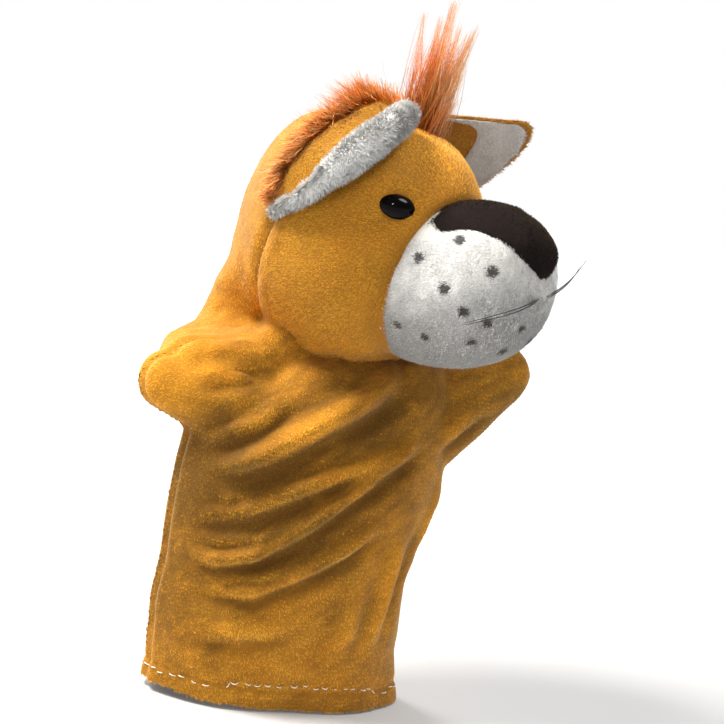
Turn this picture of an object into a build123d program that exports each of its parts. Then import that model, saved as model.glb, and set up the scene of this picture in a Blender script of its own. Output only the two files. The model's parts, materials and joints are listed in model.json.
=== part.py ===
from build123d import *
import math
import os

# A plush hand puppet with an animal head, at rest as it stands on a display arm.
# Units are millimetres. The origin is the centre of the hand opening, +Z runs up
# the body, -Y is the body's front and +X is the puppet's own left.
# The head looks 33 degrees to its own left.

os.makedirs("parts", exist_ok=True)

# ---------------------------------------------------------------- cloth and thread
CLOTH = 2.0
THREAD_RADIUS = 0.35
STITCH_LENGTH = 3.0
SEAM_STITCH_PITCH = 5.0

# ---------------------------------------------------------------- body sleeve
HEM_HALF_WIDTH = 57.0
HEM_HALF_DEPTH = 30.0
WAIST_HEIGHT = 46.0
WAIST_HALF_WIDTH = 54.0
WAIST_HALF_DEPTH = 30.5
CHEST_HEIGHT = 92.0
CHEST_HALF_WIDTH = 58.0
CHEST_HALF_DEPTH = 31.5
SHOULDER_HEIGHT = 113.0
SHOULDER_HALF_WIDTH = 55.0
SHOULDER_HALF_DEPTH = 30.0
YOKE_HEIGHT = 125.0
YOKE_HALF_WIDTH = 43.0
YOKE_HALF_DEPTH = 27.0
COLLAR_HEIGHT = 133.0
COLLAR_HALF_WIDTH = 26.0
COLLAR_HALF_DEPTH = 24.5
HEM_TURN_UP = 12.0
HEM_TURN_UP_THICKNESS = 1.4
HEM_STITCH_HEIGHT = 8.0
HEM_STITCH_COUNT = 54
HEM_STITCH_RADIUS = 0.4
SIDE_SEAM_LOW = 14.0
SIDE_SEAM_HIGH = 90.0

# ---------------------------------------------------------------- neck
NECK_X = 2.0
NECK_Y = 6.0
COLLAR_OPENING_RADIUS = 21.5
NECK_SLEEVE_RADIUS = 19.0
NECK_SLEEVE_LOW = 121.0
NECK_SLEEVE_HIGH = 134.5

# ---------------------------------------------------------------- head
HEAD_YAW = 33.0
HEAD_CENTRE_HEIGHT = 187.5
SKULL_RADIUS = 50.0
FACE_SEAM_BACK = 10.6
FACE_SEAM_TILT = 16.9
HEAD_OPENING_RADIUS = 22.0
POCKET_BORE_RADIUS = 10.0
POCKET_DEPTH = 46.0

# ---------------------------------------------------------------- muzzle and nose
MUZZLE_DROP = 9.0
MUZZLE_RADIUS = 33.0
MUZZLE_STRAIGHT_END = 58.0
MUZZLE_TIP = 87.0
NOSE_PATCH_THICKNESS = 1.6

# ---------------------------------------------------------------- eyes
EYE_FORWARD = 32.0
EYE_SIDE = 33.0
EYE_UP = 18.6
EYE_HALF_WIDTH = 7.5
EYE_HALF_HEIGHT = 5.2
EYE_DOME = 4.2
EYE_DOME_ROUND = 3.6
EYE_SHANK_RADIUS = 1.6
EYE_SHANK_LENGTH = 11.0
EYE_WASHER_RADIUS = 7.0
EYE_WASHER_THICKNESS = 1.5
EYE_POCKET_RADIUS = 7.6

# ---------------------------------------------------------------- ears
EAR_TOP_ANGLE = 13.0
EAR_LOW_ANGLE = 84.0
EAR_REACH = 45.0
EAR_FORWARD = 0.68
EAR_OUTWARD = 0.72
EAR_UPWARD = 0.13

# ---------------------------------------------------------------- mane
MANE_TAPE_THICKNESS = 1.2
MANE_TAPE_HALF_WIDTH = 5.0
MANE_TAPE_FRONT = 24.0
TUFT_CENTRE_FORWARD = 13.0
TUFT_HALF_LENGTH = 12.0
TUFT_HALF_WIDTH = 6.0
TUFT_TOP = 94.0
TUFT_TOP_FORWARD = 17.0
TUFT_TOP_HALF_LENGTH = 15.0
TUFT_TOP_HALF_WIDTH = 4.0
FRINGE_HEIGHT = 8.0
FRINGE_BEHIND_SEAM = 12.0
FRINGE_LOW = 12.0

# ---------------------------------------------------------------- whiskers
WHISKER_RADIUS = 0.25
WHISKER_ROOT = (85.0, 6.0, -6.0)
WHISKER_SWEEP = 14.0
WHISKER_SPREAD = 2.5
RIGHT_WHISKER_REACH = 38.0
RIGHT_WHISKER_RISE = -13.0
LEFT_WHISKER_REACH = 44.0
LEFT_WHISKER_RISE = 11.0

# ---------------------------------------------------------------- arms
ARM_ROOT_RADIUS = 15.5
ARM_TIP_RADIUS = 10.0
ARMHOLE_RADIUS = 19.6
RIGHT_ARM_PIVOT = (-50.0, 0.0, 117.0)
RIGHT_ARM_REACH = 30.0
RIGHT_ARM_RISE_ANGLE = 5.0
LEFT_ARM_PIVOT = (48.0, 0.0, 117.0)
LEFT_ARM_REACH = 52.0
LEFT_ARM_RISE_ANGLE = 41.0


head_frame = Plane(
    origin=(NECK_X, NECK_Y, HEAD_CENTRE_HEIGHT),
    x_dir=(math.sin(math.radians(HEAD_YAW)), -math.cos(math.radians(HEAD_YAW)), 0),
    z_dir=(0, 0, 1),
)


def head_point(forward, left, up):
    """A point given in the head's own directions, in the row's frame."""
    return head_frame.from_local_coords(Vector(forward, left, up))


def head_direction(forward, left, up):
    """A direction given in the head's own directions, in the row's frame."""
    return (head_point(forward, left, up) - head_frame.origin).normalized()


def finish(piece, name):
    """Names a finished piece and writes it to its own file."""
    piece.part.label = name
    export_step(piece.part, "parts/" + name + ".step")


# ================================================================ body sleeve
# Each section is height, half width, half depth, centre x, centre y.
body_sections = [
    (0.0, HEM_HALF_WIDTH, HEM_HALF_DEPTH, 0.0, 0.0),
    (WAIST_HEIGHT, WAIST_HALF_WIDTH, WAIST_HALF_DEPTH, 0.0, 0.0),
    (CHEST_HEIGHT, CHEST_HALF_WIDTH, CHEST_HALF_DEPTH, 0.0, 0.0),
    (SHOULDER_HEIGHT, SHOULDER_HALF_WIDTH, SHOULDER_HALF_DEPTH, 0.0, 1.0),
    (YOKE_HEIGHT, YOKE_HALF_WIDTH, YOKE_HALF_DEPTH, 1.0, 3.0),
    (COLLAR_HEIGHT, COLLAR_HALF_WIDTH, COLLAR_HALF_DEPTH, NECK_X, NECK_Y),
]

with BuildPart() as body_outside:
    for height, half_width, half_depth, centre_x, centre_y in body_sections:
        with BuildSketch(Plane((centre_x, centre_y, height))):
            Ellipse(half_width, half_depth)
    loft(ruled=True)

# The cavity is the same sleeve less the cloth, and lower at the sloping shoulders.
# The hem is the sleeve's own edge, turned up once inside, so the wall is double there.
SLOPE_EXTRA = 3.0
hem_share = HEM_TURN_UP / WAIST_HEIGHT
HEM_TOP_HALF_WIDTH = HEM_HALF_WIDTH + hem_share * (WAIST_HALF_WIDTH - HEM_HALF_WIDTH)
HEM_TOP_HALF_DEPTH = HEM_HALF_DEPTH + hem_share * (WAIST_HALF_DEPTH - HEM_HALF_DEPTH)
HEM_WALL = CLOTH + HEM_TURN_UP_THICKNESS
cavity_sections = [(HEM_TURN_UP, HEM_TOP_HALF_WIDTH, HEM_TOP_HALF_DEPTH, 0.0, 0.0)]
cavity_sections = cavity_sections + body_sections[1:]
with BuildPart() as body_inside:
    for height, half_width, half_depth, centre_x, centre_y in cavity_sections:
        level = height if height <= CHEST_HEIGHT else height - CLOTH
        with BuildSketch(Plane((centre_x, centre_y, level))):
            Ellipse(half_width - CLOTH, half_depth - CLOTH)
    loft(ruled=True)
    with BuildSketch():
        Ellipse(HEM_HALF_WIDTH - HEM_WALL, HEM_HALF_DEPTH - HEM_WALL)
    with BuildSketch(Plane.XY.offset(HEM_TURN_UP)):
        Ellipse(HEM_TOP_HALF_WIDTH - HEM_WALL, HEM_TOP_HALF_DEPTH - HEM_WALL)
    loft(ruled=True)

with BuildPart() as collar_hole:
    with BuildSketch(Plane((NECK_X, NECK_Y, YOKE_HEIGHT - SLOPE_EXTRA))):
        Circle(COLLAR_OPENING_RADIUS)
    extrude(amount=COLLAR_HEIGHT)


def arm_axis_plane(pivot, side, rise_angle):
    """A plane at the armhole whose normal runs out along the arm."""
    rise = math.radians(rise_angle)
    return Plane(
        origin=pivot,
        x_dir=(0, 1, 0),
        z_dir=(side * math.cos(rise), 0, math.sin(rise)),
    )


right_arm_plane = arm_axis_plane(RIGHT_ARM_PIVOT, -1, RIGHT_ARM_RISE_ANGLE)
left_arm_plane = arm_axis_plane(LEFT_ARM_PIVOT, 1, LEFT_ARM_RISE_ANGLE)
ARMHOLE_BACK = 9.0
ARMHOLE_LENGTH = 40.0

with BuildPart() as armholes:
    for plane in (right_arm_plane, left_arm_plane):
        with BuildSketch(plane.offset(-ARMHOLE_BACK)):
            Circle(ARMHOLE_RADIUS)
        extrude(amount=ARMHOLE_LENGTH)

with BuildPart() as body_sleeve:
    add(body_outside.part)
    add(body_inside.part, mode=Mode.SUBTRACT)
    add(collar_hole.part, mode=Mode.SUBTRACT)
    add(armholes.part, mode=Mode.SUBTRACT)

# The front and back panels meet at the side seams, in the plane Y = 0.
with BuildPart() as front_body_panel:
    add(body_sleeve.part)
    split(bisect_by=Plane.XZ, keep=Keep.TOP)
finish(front_body_panel, "front_body_panel")

with BuildPart() as back_body_panel:
    add(body_sleeve.part)
    split(bisect_by=Plane.XZ, keep=Keep.BOTTOM)
finish(back_body_panel, "back_body_panel")


def sleeve_half_width(height):
    """The sleeve's half width by straight lines between its lower sections."""
    for low, high in zip(body_sections, body_sections[1:]):
        if height <= high[0]:
            share = (height - low[0]) / (high[0] - low[0])
            return low[1] + share * (high[1] - low[1])
    return body_sections[-1][1]


def side_seam_thread(side):
    """The lockstitches of one side seam, each piercing both panels."""
    count = int((SIDE_SEAM_HIGH - SIDE_SEAM_LOW) / SEAM_STITCH_PITCH) + 1
    with BuildPart() as thread:
        for number in range(count):
            height = SIDE_SEAM_LOW + number * SEAM_STITCH_PITCH
            across = side * (sleeve_half_width(height) - CLOTH / 2)
            with Locations(Plane((across, 0, height), z_dir=(0, 1, 0))):
                Cylinder(THREAD_RADIUS, STITCH_LENGTH)
    return thread


finish(side_seam_thread(-1), "right_side_seam_thread")
finish(side_seam_thread(1), "left_side_seam_thread")

# The hem's running stitch shows on the outside as a row of short dashes.
with BuildPart() as hem_stitching:
    for number in range(HEM_STITCH_COUNT):
        angle = 2 * math.pi * (number + 0.5) / HEM_STITCH_COUNT
        spot = Vector(
            HEM_HALF_WIDTH * math.cos(angle),
            HEM_HALF_DEPTH * math.sin(angle),
            HEM_STITCH_HEIGHT,
        )
        along = Vector(
            -HEM_HALF_WIDTH * math.sin(angle), HEM_HALF_DEPTH * math.cos(angle), 0
        )
        with Locations(Plane(spot, z_dir=along)):
            Cylinder(HEM_STITCH_RADIUS, STITCH_LENGTH)
finish(hem_stitching, "hem_stitching")

# ================================================================ neck
with BuildPart() as neck_sleeve:
    with BuildSketch(Plane((NECK_X, NECK_Y, NECK_SLEEVE_LOW))):
        Circle(NECK_SLEEVE_RADIUS)
        Circle(NECK_SLEEVE_RADIUS - CLOTH, mode=Mode.SUBTRACT)
    extrude(amount=NECK_SLEEVE_HIGH - NECK_SLEEVE_LOW)
finish(neck_sleeve, "neck_sleeve")

# ================================================================ arms
ARM_TIP_ROUND = 9.0


def arm_outline(reach, inset):
    """Half the arm's outline, from its axis, made smaller all round by inset."""
    root = ARM_ROOT_RADIUS - inset
    tip = ARM_TIP_RADIUS - inset
    end = reach - inset
    start = 0.0 if inset == 0 else -inset
    with BuildLine() as outline:
        Line((0, start), (root, start))
        Line((root, start), (tip, end - ARM_TIP_ROUND))
        Spline(
            (tip, end - ARM_TIP_ROUND),
            (tip * 0.72, end - ARM_TIP_ROUND * 0.3),
            (0, end),
            tangents=[(tip - root, end - ARM_TIP_ROUND), (-1, 0)],
        )
        Line((0, end), (0, start))
    return outline.line


def arm_panel(plane, reach, front):
    """One of the two cloth panels of an arm, split on the plane Y = 0."""
    profile_plane = Plane(plane.origin, x_dir=plane.x_dir, z_dir=-plane.y_dir)
    arm_axis = Axis(plane.origin, plane.z_dir)
    with BuildPart() as panel:
        with BuildSketch(profile_plane):
            with BuildLine():
                add(arm_outline(reach, 0.0))
            make_face()
        revolve(axis=arm_axis)
        with BuildSketch(profile_plane):
            with BuildLine():
                add(arm_outline(reach, CLOTH))
            make_face()
        revolve(axis=arm_axis, mode=Mode.SUBTRACT)
        split(bisect_by=Plane.XZ, keep=Keep.TOP if front else Keep.BOTTOM)
    return panel


def arm_seam_thread(plane, reach):
    """The lockstitches over and under an arm, each piercing both panels."""
    count = int((reach - ARM_TIP_ROUND) / SEAM_STITCH_PITCH)
    with BuildPart() as thread:
        for number in range(count):
            along = (number + 0.5) * SEAM_STITCH_PITCH
            slope = (ARM_ROOT_RADIUS - ARM_TIP_RADIUS) / (reach - ARM_TIP_ROUND)
            across = ARM_ROOT_RADIUS - slope * along - CLOTH / 2
            for side in (-1, 1):
                spot = plane.from_local_coords(Vector(0, side * across, along))
                with Locations(Plane(spot, z_dir=(0, 1, 0))):
                    Cylinder(THREAD_RADIUS, STITCH_LENGTH)
    return thread


arms = [
    ("right", right_arm_plane, RIGHT_ARM_REACH),
    ("left", left_arm_plane, LEFT_ARM_REACH),
]
for side_name, plane, reach in arms:
    finish(arm_panel(plane, reach, True), side_name + "_arm_front_panel")
    finish(arm_panel(plane, reach, False), side_name + "_arm_back_panel")
    finish(arm_seam_thread(plane, reach), side_name + "_arm_seam_thread")

# ================================================================ head: cutting shapes
tilt = math.radians(FACE_SEAM_TILT)
seam_normal = head_direction(math.cos(tilt), 0, -math.sin(tilt))
seam_up = head_direction(math.sin(tilt), 0, math.cos(tilt))
head_left = head_direction(0, 1, 0)
seam_centre = head_point(
    -FACE_SEAM_BACK * math.cos(tilt) ** 2,
    0,
    FACE_SEAM_BACK * math.cos(tilt) * math.sin(tilt),
)
seam_offset = FACE_SEAM_BACK * math.cos(tilt)
seam_plane = Plane(seam_centre, x_dir=seam_up, z_dir=seam_normal)
muzzle_axis = Axis(head_point(0, 0, -MUZZLE_DROP), head_direction(1, 0, 0))
side_view = Plane(
    head_frame.origin, x_dir=head_direction(1, 0, 0), z_dir=head_direction(0, -1, 0)
)
opening_up = -math.sqrt(SKULL_RADIUS**2 - HEAD_OPENING_RADIUS**2)


def ball(radius):
    """A full ball about the head's centre."""
    with BuildPart(head_frame) as shape:
        Sphere(radius)
    return shape


skull_outside = ball(SKULL_RADIUS)
skull_inside = ball(SKULL_RADIUS - CLOTH)


def muzzle_solid(inset):
    """The muzzle as a solid of revolution about its own axis."""
    radius = MUZZLE_RADIUS - inset
    tip = MUZZLE_TIP - inset
    axis_up = -MUZZLE_DROP
    with BuildPart() as shape:
        with BuildSketch(side_view):
            with BuildLine():
                Line((0, axis_up), (0, axis_up + radius))
                Line((0, axis_up + radius), (MUZZLE_STRAIGHT_END, axis_up + radius))
                EllipticalCenterArc(
                    (MUZZLE_STRAIGHT_END, axis_up),
                    tip - MUZZLE_STRAIGHT_END,
                    radius,
                    start_angle=0,
                    arc_size=90,
                )
                Line((tip, axis_up), (0, axis_up))
            make_face()
        revolve(axis=muzzle_axis)
    return shape


muzzle_outside = muzzle_solid(0.0)
muzzle_inside = muzzle_solid(CLOTH)

with BuildPart() as neck_opening:
    with BuildSketch(head_frame):
        Circle(HEAD_OPENING_RADIUS)
    extrude(amount=-2 * SKULL_RADIUS)

eye_planes = {}
for side_name, side in (("right", -1), ("left", 1)):
    outward = head_direction(EYE_FORWARD, side * EYE_SIDE, EYE_UP)
    level = Vector(0, 0, 1).cross(outward).normalized()
    eye_spot = head_frame.origin + outward * SKULL_RADIUS
    eye_planes[side_name] = Plane(eye_spot, x_dir=level, z_dir=outward)

SHANK_HOLE_RADIUS = EYE_SHANK_RADIUS + 0.3
with BuildPart() as shank_holes:
    for eye_plane in eye_planes.values():
        with BuildSketch(eye_plane.offset(EYE_DOME)):
            Circle(SHANK_HOLE_RADIUS)
        extrude(amount=-2 * EYE_SHANK_LENGTH)

# ================================================================ head: cloth skin
with BuildPart() as skull_skin:
    add(skull_outside.part)
    add(skull_inside.part, mode=Mode.SUBTRACT)
    add(neck_opening.part, mode=Mode.SUBTRACT)

with BuildPart() as face_panel:
    add(skull_skin.part)
    add(muzzle_inside.part, mode=Mode.SUBTRACT)
    add(shank_holes.part, mode=Mode.SUBTRACT)
    split(bisect_by=seam_plane, keep=Keep.TOP)
finish(face_panel, "face_panel")

with BuildPart() as back_head_panel:
    add(skull_skin.part)
    split(bisect_by=seam_plane, keep=Keep.BOTTOM)
finish(back_head_panel, "back_head_panel")

with BuildPart() as muzzle_cover:
    add(muzzle_outside.part)
    add(muzzle_inside.part, mode=Mode.SUBTRACT)
    add(skull_outside.part, mode=Mode.SUBTRACT)
finish(muzzle_cover, "muzzle_cover")

with BuildPart() as muzzle_stuffing:
    add(muzzle_inside.part)
    add(skull_inside.part, mode=Mode.SUBTRACT)
finish(muzzle_stuffing, "muzzle_stuffing")

# The nose patch narrows from the brow to the muzzle's tip and lies over its top.
NOSE_BROW = 36.0
NOSE_WAIST = 66.0
with BuildPart() as nose_patch:
    add(muzzle_solid(-NOSE_PATCH_THICKNESS).part)
    add(muzzle_outside.part, mode=Mode.SUBTRACT)
    add(skull_outside.part, mode=Mode.SUBTRACT)
    with BuildSketch(head_frame.offset(-MUZZLE_DROP + 10)):
        with BuildLine():
            Polyline((NOSE_BROW, -21), (NOSE_BROW, 21))
            Polyline((NOSE_BROW, 21), (NOSE_WAIST, 11), (MUZZLE_TIP, 6))
            ThreePointArc((MUZZLE_TIP, 6), (MUZZLE_TIP + 2, 0), (MUZZLE_TIP, -6))
            Polyline((MUZZLE_TIP, -6), (NOSE_WAIST, -11), (NOSE_BROW, -21))
        make_face()
    extrude(amount=2 * MUZZLE_RADIUS, mode=Mode.INTERSECT)
finish(nose_patch, "nose_patch")

# ================================================================ head: inside
# The pocket takes the index finger. Its flange closes the head's opening.
with BuildPart() as finger_pocket:
    with BuildSketch(head_frame.offset(opening_up)):
        Circle(HEAD_OPENING_RADIUS)
    extrude(amount=CLOTH)
    with BuildSketch(head_frame.offset(opening_up)):
        Circle(POCKET_BORE_RADIUS + CLOTH)
    extrude(amount=POCKET_DEPTH + CLOTH)
    with BuildSketch(head_frame.offset(opening_up)):
        Circle(POCKET_BORE_RADIUS)
    extrude(amount=POCKET_DEPTH, mode=Mode.SUBTRACT)
    add(skull_inside.part, mode=Mode.INTERSECT)
finish(finger_pocket, "finger_pocket")

with BuildPart() as pocket_envelope:
    with BuildSketch(head_frame.offset(-SKULL_RADIUS)):
        Circle(HEAD_OPENING_RADIUS)
    extrude(amount=SKULL_RADIUS + opening_up + CLOTH)
    with BuildSketch(head_frame.offset(opening_up)):
        Circle(POCKET_BORE_RADIUS + CLOTH)
    extrude(amount=POCKET_DEPTH + CLOTH)

with BuildPart() as eye_pockets:
    for eye_plane in eye_planes.values():
        with BuildSketch(eye_plane):
            Circle(EYE_POCKET_RADIUS)
        extrude(amount=-(EYE_SHANK_LENGTH + 1))

with BuildPart() as head_stuffing:
    add(skull_inside.part)
    add(pocket_envelope.part, mode=Mode.SUBTRACT)
    add(eye_pockets.part, mode=Mode.SUBTRACT)
finish(head_stuffing, "head_stuffing")

# ================================================================ head: eyes
EYE_SEAT = 0.9
for side_name, eye_plane in eye_planes.items():
    with BuildPart() as eye:
        with BuildSketch(eye_plane.offset(EYE_SEAT)):
            Ellipse(EYE_HALF_WIDTH, EYE_HALF_HEIGHT)
        extrude(amount=EYE_DOME)
        crown = eye.faces().sort_by(Axis(eye_plane.origin, eye_plane.z_dir))[-1]
        fillet(crown.edges(), EYE_DOME_ROUND)
        with BuildSketch(eye_plane.offset(EYE_SEAT)):
            Circle(EYE_SHANK_RADIUS)
        extrude(amount=-(EYE_SHANK_LENGTH + EYE_SEAT))
    finish(eye, side_name + "_eye")
    with BuildPart() as washer:
        with BuildSketch(eye_plane.offset(-CLOTH - EYE_WASHER_THICKNESS - 1.0)):
            Circle(EYE_WASHER_RADIUS)
            Circle(EYE_SHANK_RADIUS, mode=Mode.SUBTRACT)
        extrude(amount=EYE_WASHER_THICKNESS)
    finish(washer, side_name + "_eye_washer")


# ================================================================ head: ears
def seam_point(angle_degrees, side, radius):
    """A point on the face seam, by angle down from the crown, on one side."""
    angle = math.radians(angle_degrees)
    ring = math.sqrt(radius**2 - seam_offset**2)
    up_part = seam_up * (ring * math.cos(angle))
    side_part = head_left * (ring * side * math.sin(angle))
    return seam_centre + up_part + side_part


ears = {}
for side_name, side in (("right", -1), ("left", 1)):
    top = seam_point(EAR_TOP_ANGLE, side, SKULL_RADIUS)
    low = seam_point(EAR_LOW_ANGLE, side, SKULL_RADIUS)
    base_line = (top - low).normalized()
    chord = (top - low).length
    reach_out = head_direction(EAR_FORWARD, side * EAR_OUTWARD, EAR_UPWARD)
    ear_normal = base_line.cross(reach_out).normalized() * side
    for layer_name, layer in (("outer", 1), ("lining", -1)):
        ear_plane = Plane((top + low) / 2, x_dir=base_line, z_dir=ear_normal)
        inward = 1 if ear_plane.y_dir.dot(reach_out) > 0 else -1
        chord_depth = SKULL_RADIUS - 40.0
        tip_reach = (EAR_REACH + chord_depth) * inward
        with BuildPart() as ear:
            with BuildSketch(ear_plane):
                with BuildLine():
                    Line((chord / 2, 0), (-chord / 2, 0))
                    Spline(
                        (-chord / 2, 0),
                        (-chord * 0.40, tip_reach * 0.62),
                        (0, tip_reach * 0.97),
                        (chord * 0.36, tip_reach * 0.80),
                        (chord / 2, 0),
                    )
                make_face()
            extrude(amount=layer * CLOTH)
            add(skull_outside.part, mode=Mode.SUBTRACT)
        ears[side_name + "_ear_" + layer_name] = ear
for name, ear in ears.items():
    finish(ear, name)

# ================================================================ head: mane
mane_root = SKULL_RADIUS + MANE_TAPE_THICKNESS
tape_outside = ball(mane_root)

with BuildPart() as mane_base_tape:
    add(tape_outside.part)
    add(skull_outside.part, mode=Mode.SUBTRACT)
    with BuildSketch(head_frame):
        with Locations((MANE_TAPE_FRONT / 2, 0)):
            Rectangle(MANE_TAPE_FRONT, 2 * MANE_TAPE_HALF_WIDTH)
    extrude(amount=2 * SKULL_RADIUS, mode=Mode.INTERSECT)
finish(mane_base_tape, "mane_base_tape")

with BuildPart() as mane_tuft:
    with BuildSketch(head_frame.offset(SKULL_RADIUS - 10)):
        with Locations((TUFT_CENTRE_FORWARD, 0)):
            Ellipse(TUFT_HALF_LENGTH, TUFT_HALF_WIDTH)
    with BuildSketch(head_frame.offset(TUFT_TOP)):
        with Locations((TUFT_TOP_FORWARD, 0)):
            Ellipse(TUFT_TOP_HALF_LENGTH, TUFT_TOP_HALF_WIDTH)
    loft()
    add(tape_outside.part, mode=Mode.SUBTRACT)
finish(mane_tuft, "mane_tuft")

with BuildPart() as mane_fringe:
    add(ball(SKULL_RADIUS + FRINGE_HEIGHT).part)
    add(skull_outside.part, mode=Mode.SUBTRACT)
    with BuildSketch(seam_plane.offset(-FRINGE_BEHIND_SEAM)):
        with Locations((SKULL_RADIUS + FRINGE_LOW, 0)):
            Rectangle(2 * SKULL_RADIUS, 4 * SKULL_RADIUS)
    extrude(amount=FRINGE_BEHIND_SEAM - CLOTH, mode=Mode.INTERSECT)
    for ear in ears.values():
        add(ear.part, mode=Mode.SUBTRACT)
    add(mane_tuft.part, mode=Mode.SUBTRACT)
    add(tape_outside.part, mode=Mode.SUBTRACT)
finish(mane_fringe, "mane_fringe")

# ================================================================ head: seam threads
with BuildPart() as face_seam_thread:
    ring = math.sqrt((SKULL_RADIUS - CLOTH / 2) ** 2 - seam_offset**2)
    count = int(2 * math.pi * ring / SEAM_STITCH_PITCH)
    for number in range(count):
        angle = 360.0 * number / count
        if 155 < angle < 205:
            continue
        spot = seam_point(angle, 1, SKULL_RADIUS - CLOTH / 2)
        with Locations(Plane(spot, z_dir=seam_normal)):
            Cylinder(THREAD_RADIUS, STITCH_LENGTH)
finish(face_seam_thread, "face_seam_thread")

with BuildPart() as muzzle_seam_thread:
    ring = MUZZLE_RADIUS - CLOTH / 2
    count = int(2 * math.pi * ring / SEAM_STITCH_PITCH)
    for number in range(count):
        angle = 2 * math.pi * number / count
        left = ring * math.sin(angle)
        up = ring * math.cos(angle) - MUZZLE_DROP
        forward = math.sqrt(SKULL_RADIUS**2 - left**2 - up**2)
        spot = head_point(forward, left, up)
        with Locations(Plane(spot, z_dir=head_direction(1, 0, 0))):
            Cylinder(THREAD_RADIUS, STITCH_LENGTH)
finish(muzzle_seam_thread, "muzzle_seam_thread")

with BuildPart() as neck_seam_thread:
    count = int(2 * math.pi * HEAD_OPENING_RADIUS / SEAM_STITCH_PITCH)
    for number in range(count):
        angle = 2 * math.pi * number / count
        outward = Vector(math.cos(angle), math.sin(angle), 0)
        spot = head_frame.origin + outward * (HEAD_OPENING_RADIUS - CLOTH)
        spot = spot + Vector(0, 0, opening_up + CLOTH / 2)
        with Locations(Plane(spot, z_dir=outward)):
            Cylinder(THREAD_RADIUS, STITCH_LENGTH)
finish(neck_seam_thread, "neck_seam_thread")

# ================================================================ head: whiskers
whisker_reaches = [
    ("right", -1, RIGHT_WHISKER_REACH, RIGHT_WHISKER_RISE),
    ("left", 1, LEFT_WHISKER_REACH, LEFT_WHISKER_RISE),
]
for side_name, side, reach, rise in whisker_reaches:
    root_forward, root_side, root_up = WHISKER_ROOT
    with BuildPart() as bristles:
        for spread in (-1, 1):
            root = head_point(
                root_forward, side * root_side, root_up + spread * THREAD_RADIUS
            )
            end = head_point(
                root_forward - WHISKER_SWEEP,
                side * (root_side + reach),
                root_up + rise + spread * WHISKER_SPREAD,
            )
            with BuildSketch(Plane(root, z_dir=end - root)):
                Circle(WHISKER_RADIUS)
            extrude(amount=(end - root).length)
    finish(bristles, side_name + "_whisker_bristles")
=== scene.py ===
"""A plush hand puppet with an animal head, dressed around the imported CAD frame.

Lengths are millimetres in the code and become metres when a mesh is made.
"""

import itertools
import json
import math

import bmesh
import bpy
import numpy as np
from mathutils import Matrix, Vector
from mathutils.bvhtree import BVHTree


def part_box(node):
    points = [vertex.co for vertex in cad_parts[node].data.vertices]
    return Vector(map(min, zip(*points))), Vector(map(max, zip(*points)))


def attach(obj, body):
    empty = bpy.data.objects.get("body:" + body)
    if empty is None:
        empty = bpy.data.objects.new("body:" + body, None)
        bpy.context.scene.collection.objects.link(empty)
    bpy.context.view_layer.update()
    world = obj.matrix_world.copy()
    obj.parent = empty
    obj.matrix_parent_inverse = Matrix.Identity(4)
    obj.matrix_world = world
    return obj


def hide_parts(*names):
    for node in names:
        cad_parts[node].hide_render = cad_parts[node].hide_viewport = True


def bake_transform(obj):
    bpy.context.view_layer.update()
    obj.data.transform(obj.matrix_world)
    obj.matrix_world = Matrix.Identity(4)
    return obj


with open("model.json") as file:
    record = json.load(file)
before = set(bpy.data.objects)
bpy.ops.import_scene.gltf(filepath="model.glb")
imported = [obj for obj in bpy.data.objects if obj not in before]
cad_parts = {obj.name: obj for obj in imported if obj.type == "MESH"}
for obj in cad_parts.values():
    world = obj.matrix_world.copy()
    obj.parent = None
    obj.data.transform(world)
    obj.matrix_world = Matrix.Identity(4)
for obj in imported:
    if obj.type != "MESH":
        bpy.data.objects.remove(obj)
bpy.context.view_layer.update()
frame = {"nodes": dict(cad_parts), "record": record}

MM = 0.001
JOINTS = {joint["name"]: joint for joint in frame["record"]["behaviour"]["joints"]}


def millimetres(vector):
    return np.array(vector, float) / MM


def unit(vectors):
    """Vectors, one a row, made one long."""
    vectors = np.asarray(vectors, float)
    length = np.linalg.norm(vectors, axis=-1, keepdims=True)
    return vectors / np.maximum(length, 1e-9)


# ------------------------------------------------------------------ places from the frame
stuffing_low, stuffing_high = (millimetres(corner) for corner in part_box("head_stuffing"))
muzzle_low, muzzle_high = (millimetres(corner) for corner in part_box("muzzle_cover"))
front_low, front_high = (millimetres(corner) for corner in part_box("front_body_panel"))
back_low, back_high = (millimetres(corner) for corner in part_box("back_body_panel"))
CLOTH = 2.0
SKULL = (stuffing_high[0] - stuffing_low[0]) / 2 + CLOTH
HEAD = np.array(
    [
        (stuffing_low[0] + stuffing_high[0]) / 2,
        (stuffing_low[1] + stuffing_high[1]) / 2,
        stuffing_high[2] + CLOTH - SKULL,
    ]
)
LEFT = unit(np.array(JOINTS["head_nod"]["axis"], float))
FORWARD = np.array([LEFT[1], -LEFT[0], 0.0])
UP = np.array([0.0, 0.0, 1.0])
HEAD_AXES = np.array([FORWARD, LEFT, UP])
MUZZLE_MIDDLE = (muzzle_low[2] + muzzle_high[2]) / 2 - HEAD[2]
MUZZLE_RADIUS = (muzzle_high[2] - muzzle_low[2]) / 2
MUZZLE_TIP = 87.0
HEM_HALF_WIDTH = (front_high[0] - front_low[0]) / 2
HEM_HALF_DEPTH = -front_low[1]

# The seam between face and back of head lies in a plane tilted back towards the neck.
SEAM_BACK = 10.6
SEAM_TILT = math.radians(16.9)
SEAM_NORMAL = np.array([math.cos(SEAM_TILT), 0.0, -math.sin(SEAM_TILT)])
SEAM_RISE = np.array([math.sin(SEAM_TILT), 0.0, math.cos(SEAM_TILT)])
SEAM_OFFSET = SEAM_BACK * math.cos(SEAM_TILT)


def head_to_row(points):
    """Points given as forward, left, up from the head's centre, in the row's frame."""
    return HEAD + np.asarray(points, float) @ HEAD_AXES


def row_to_head(points):
    return (np.asarray(points, float) - HEAD) @ HEAD_AXES.T


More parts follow.
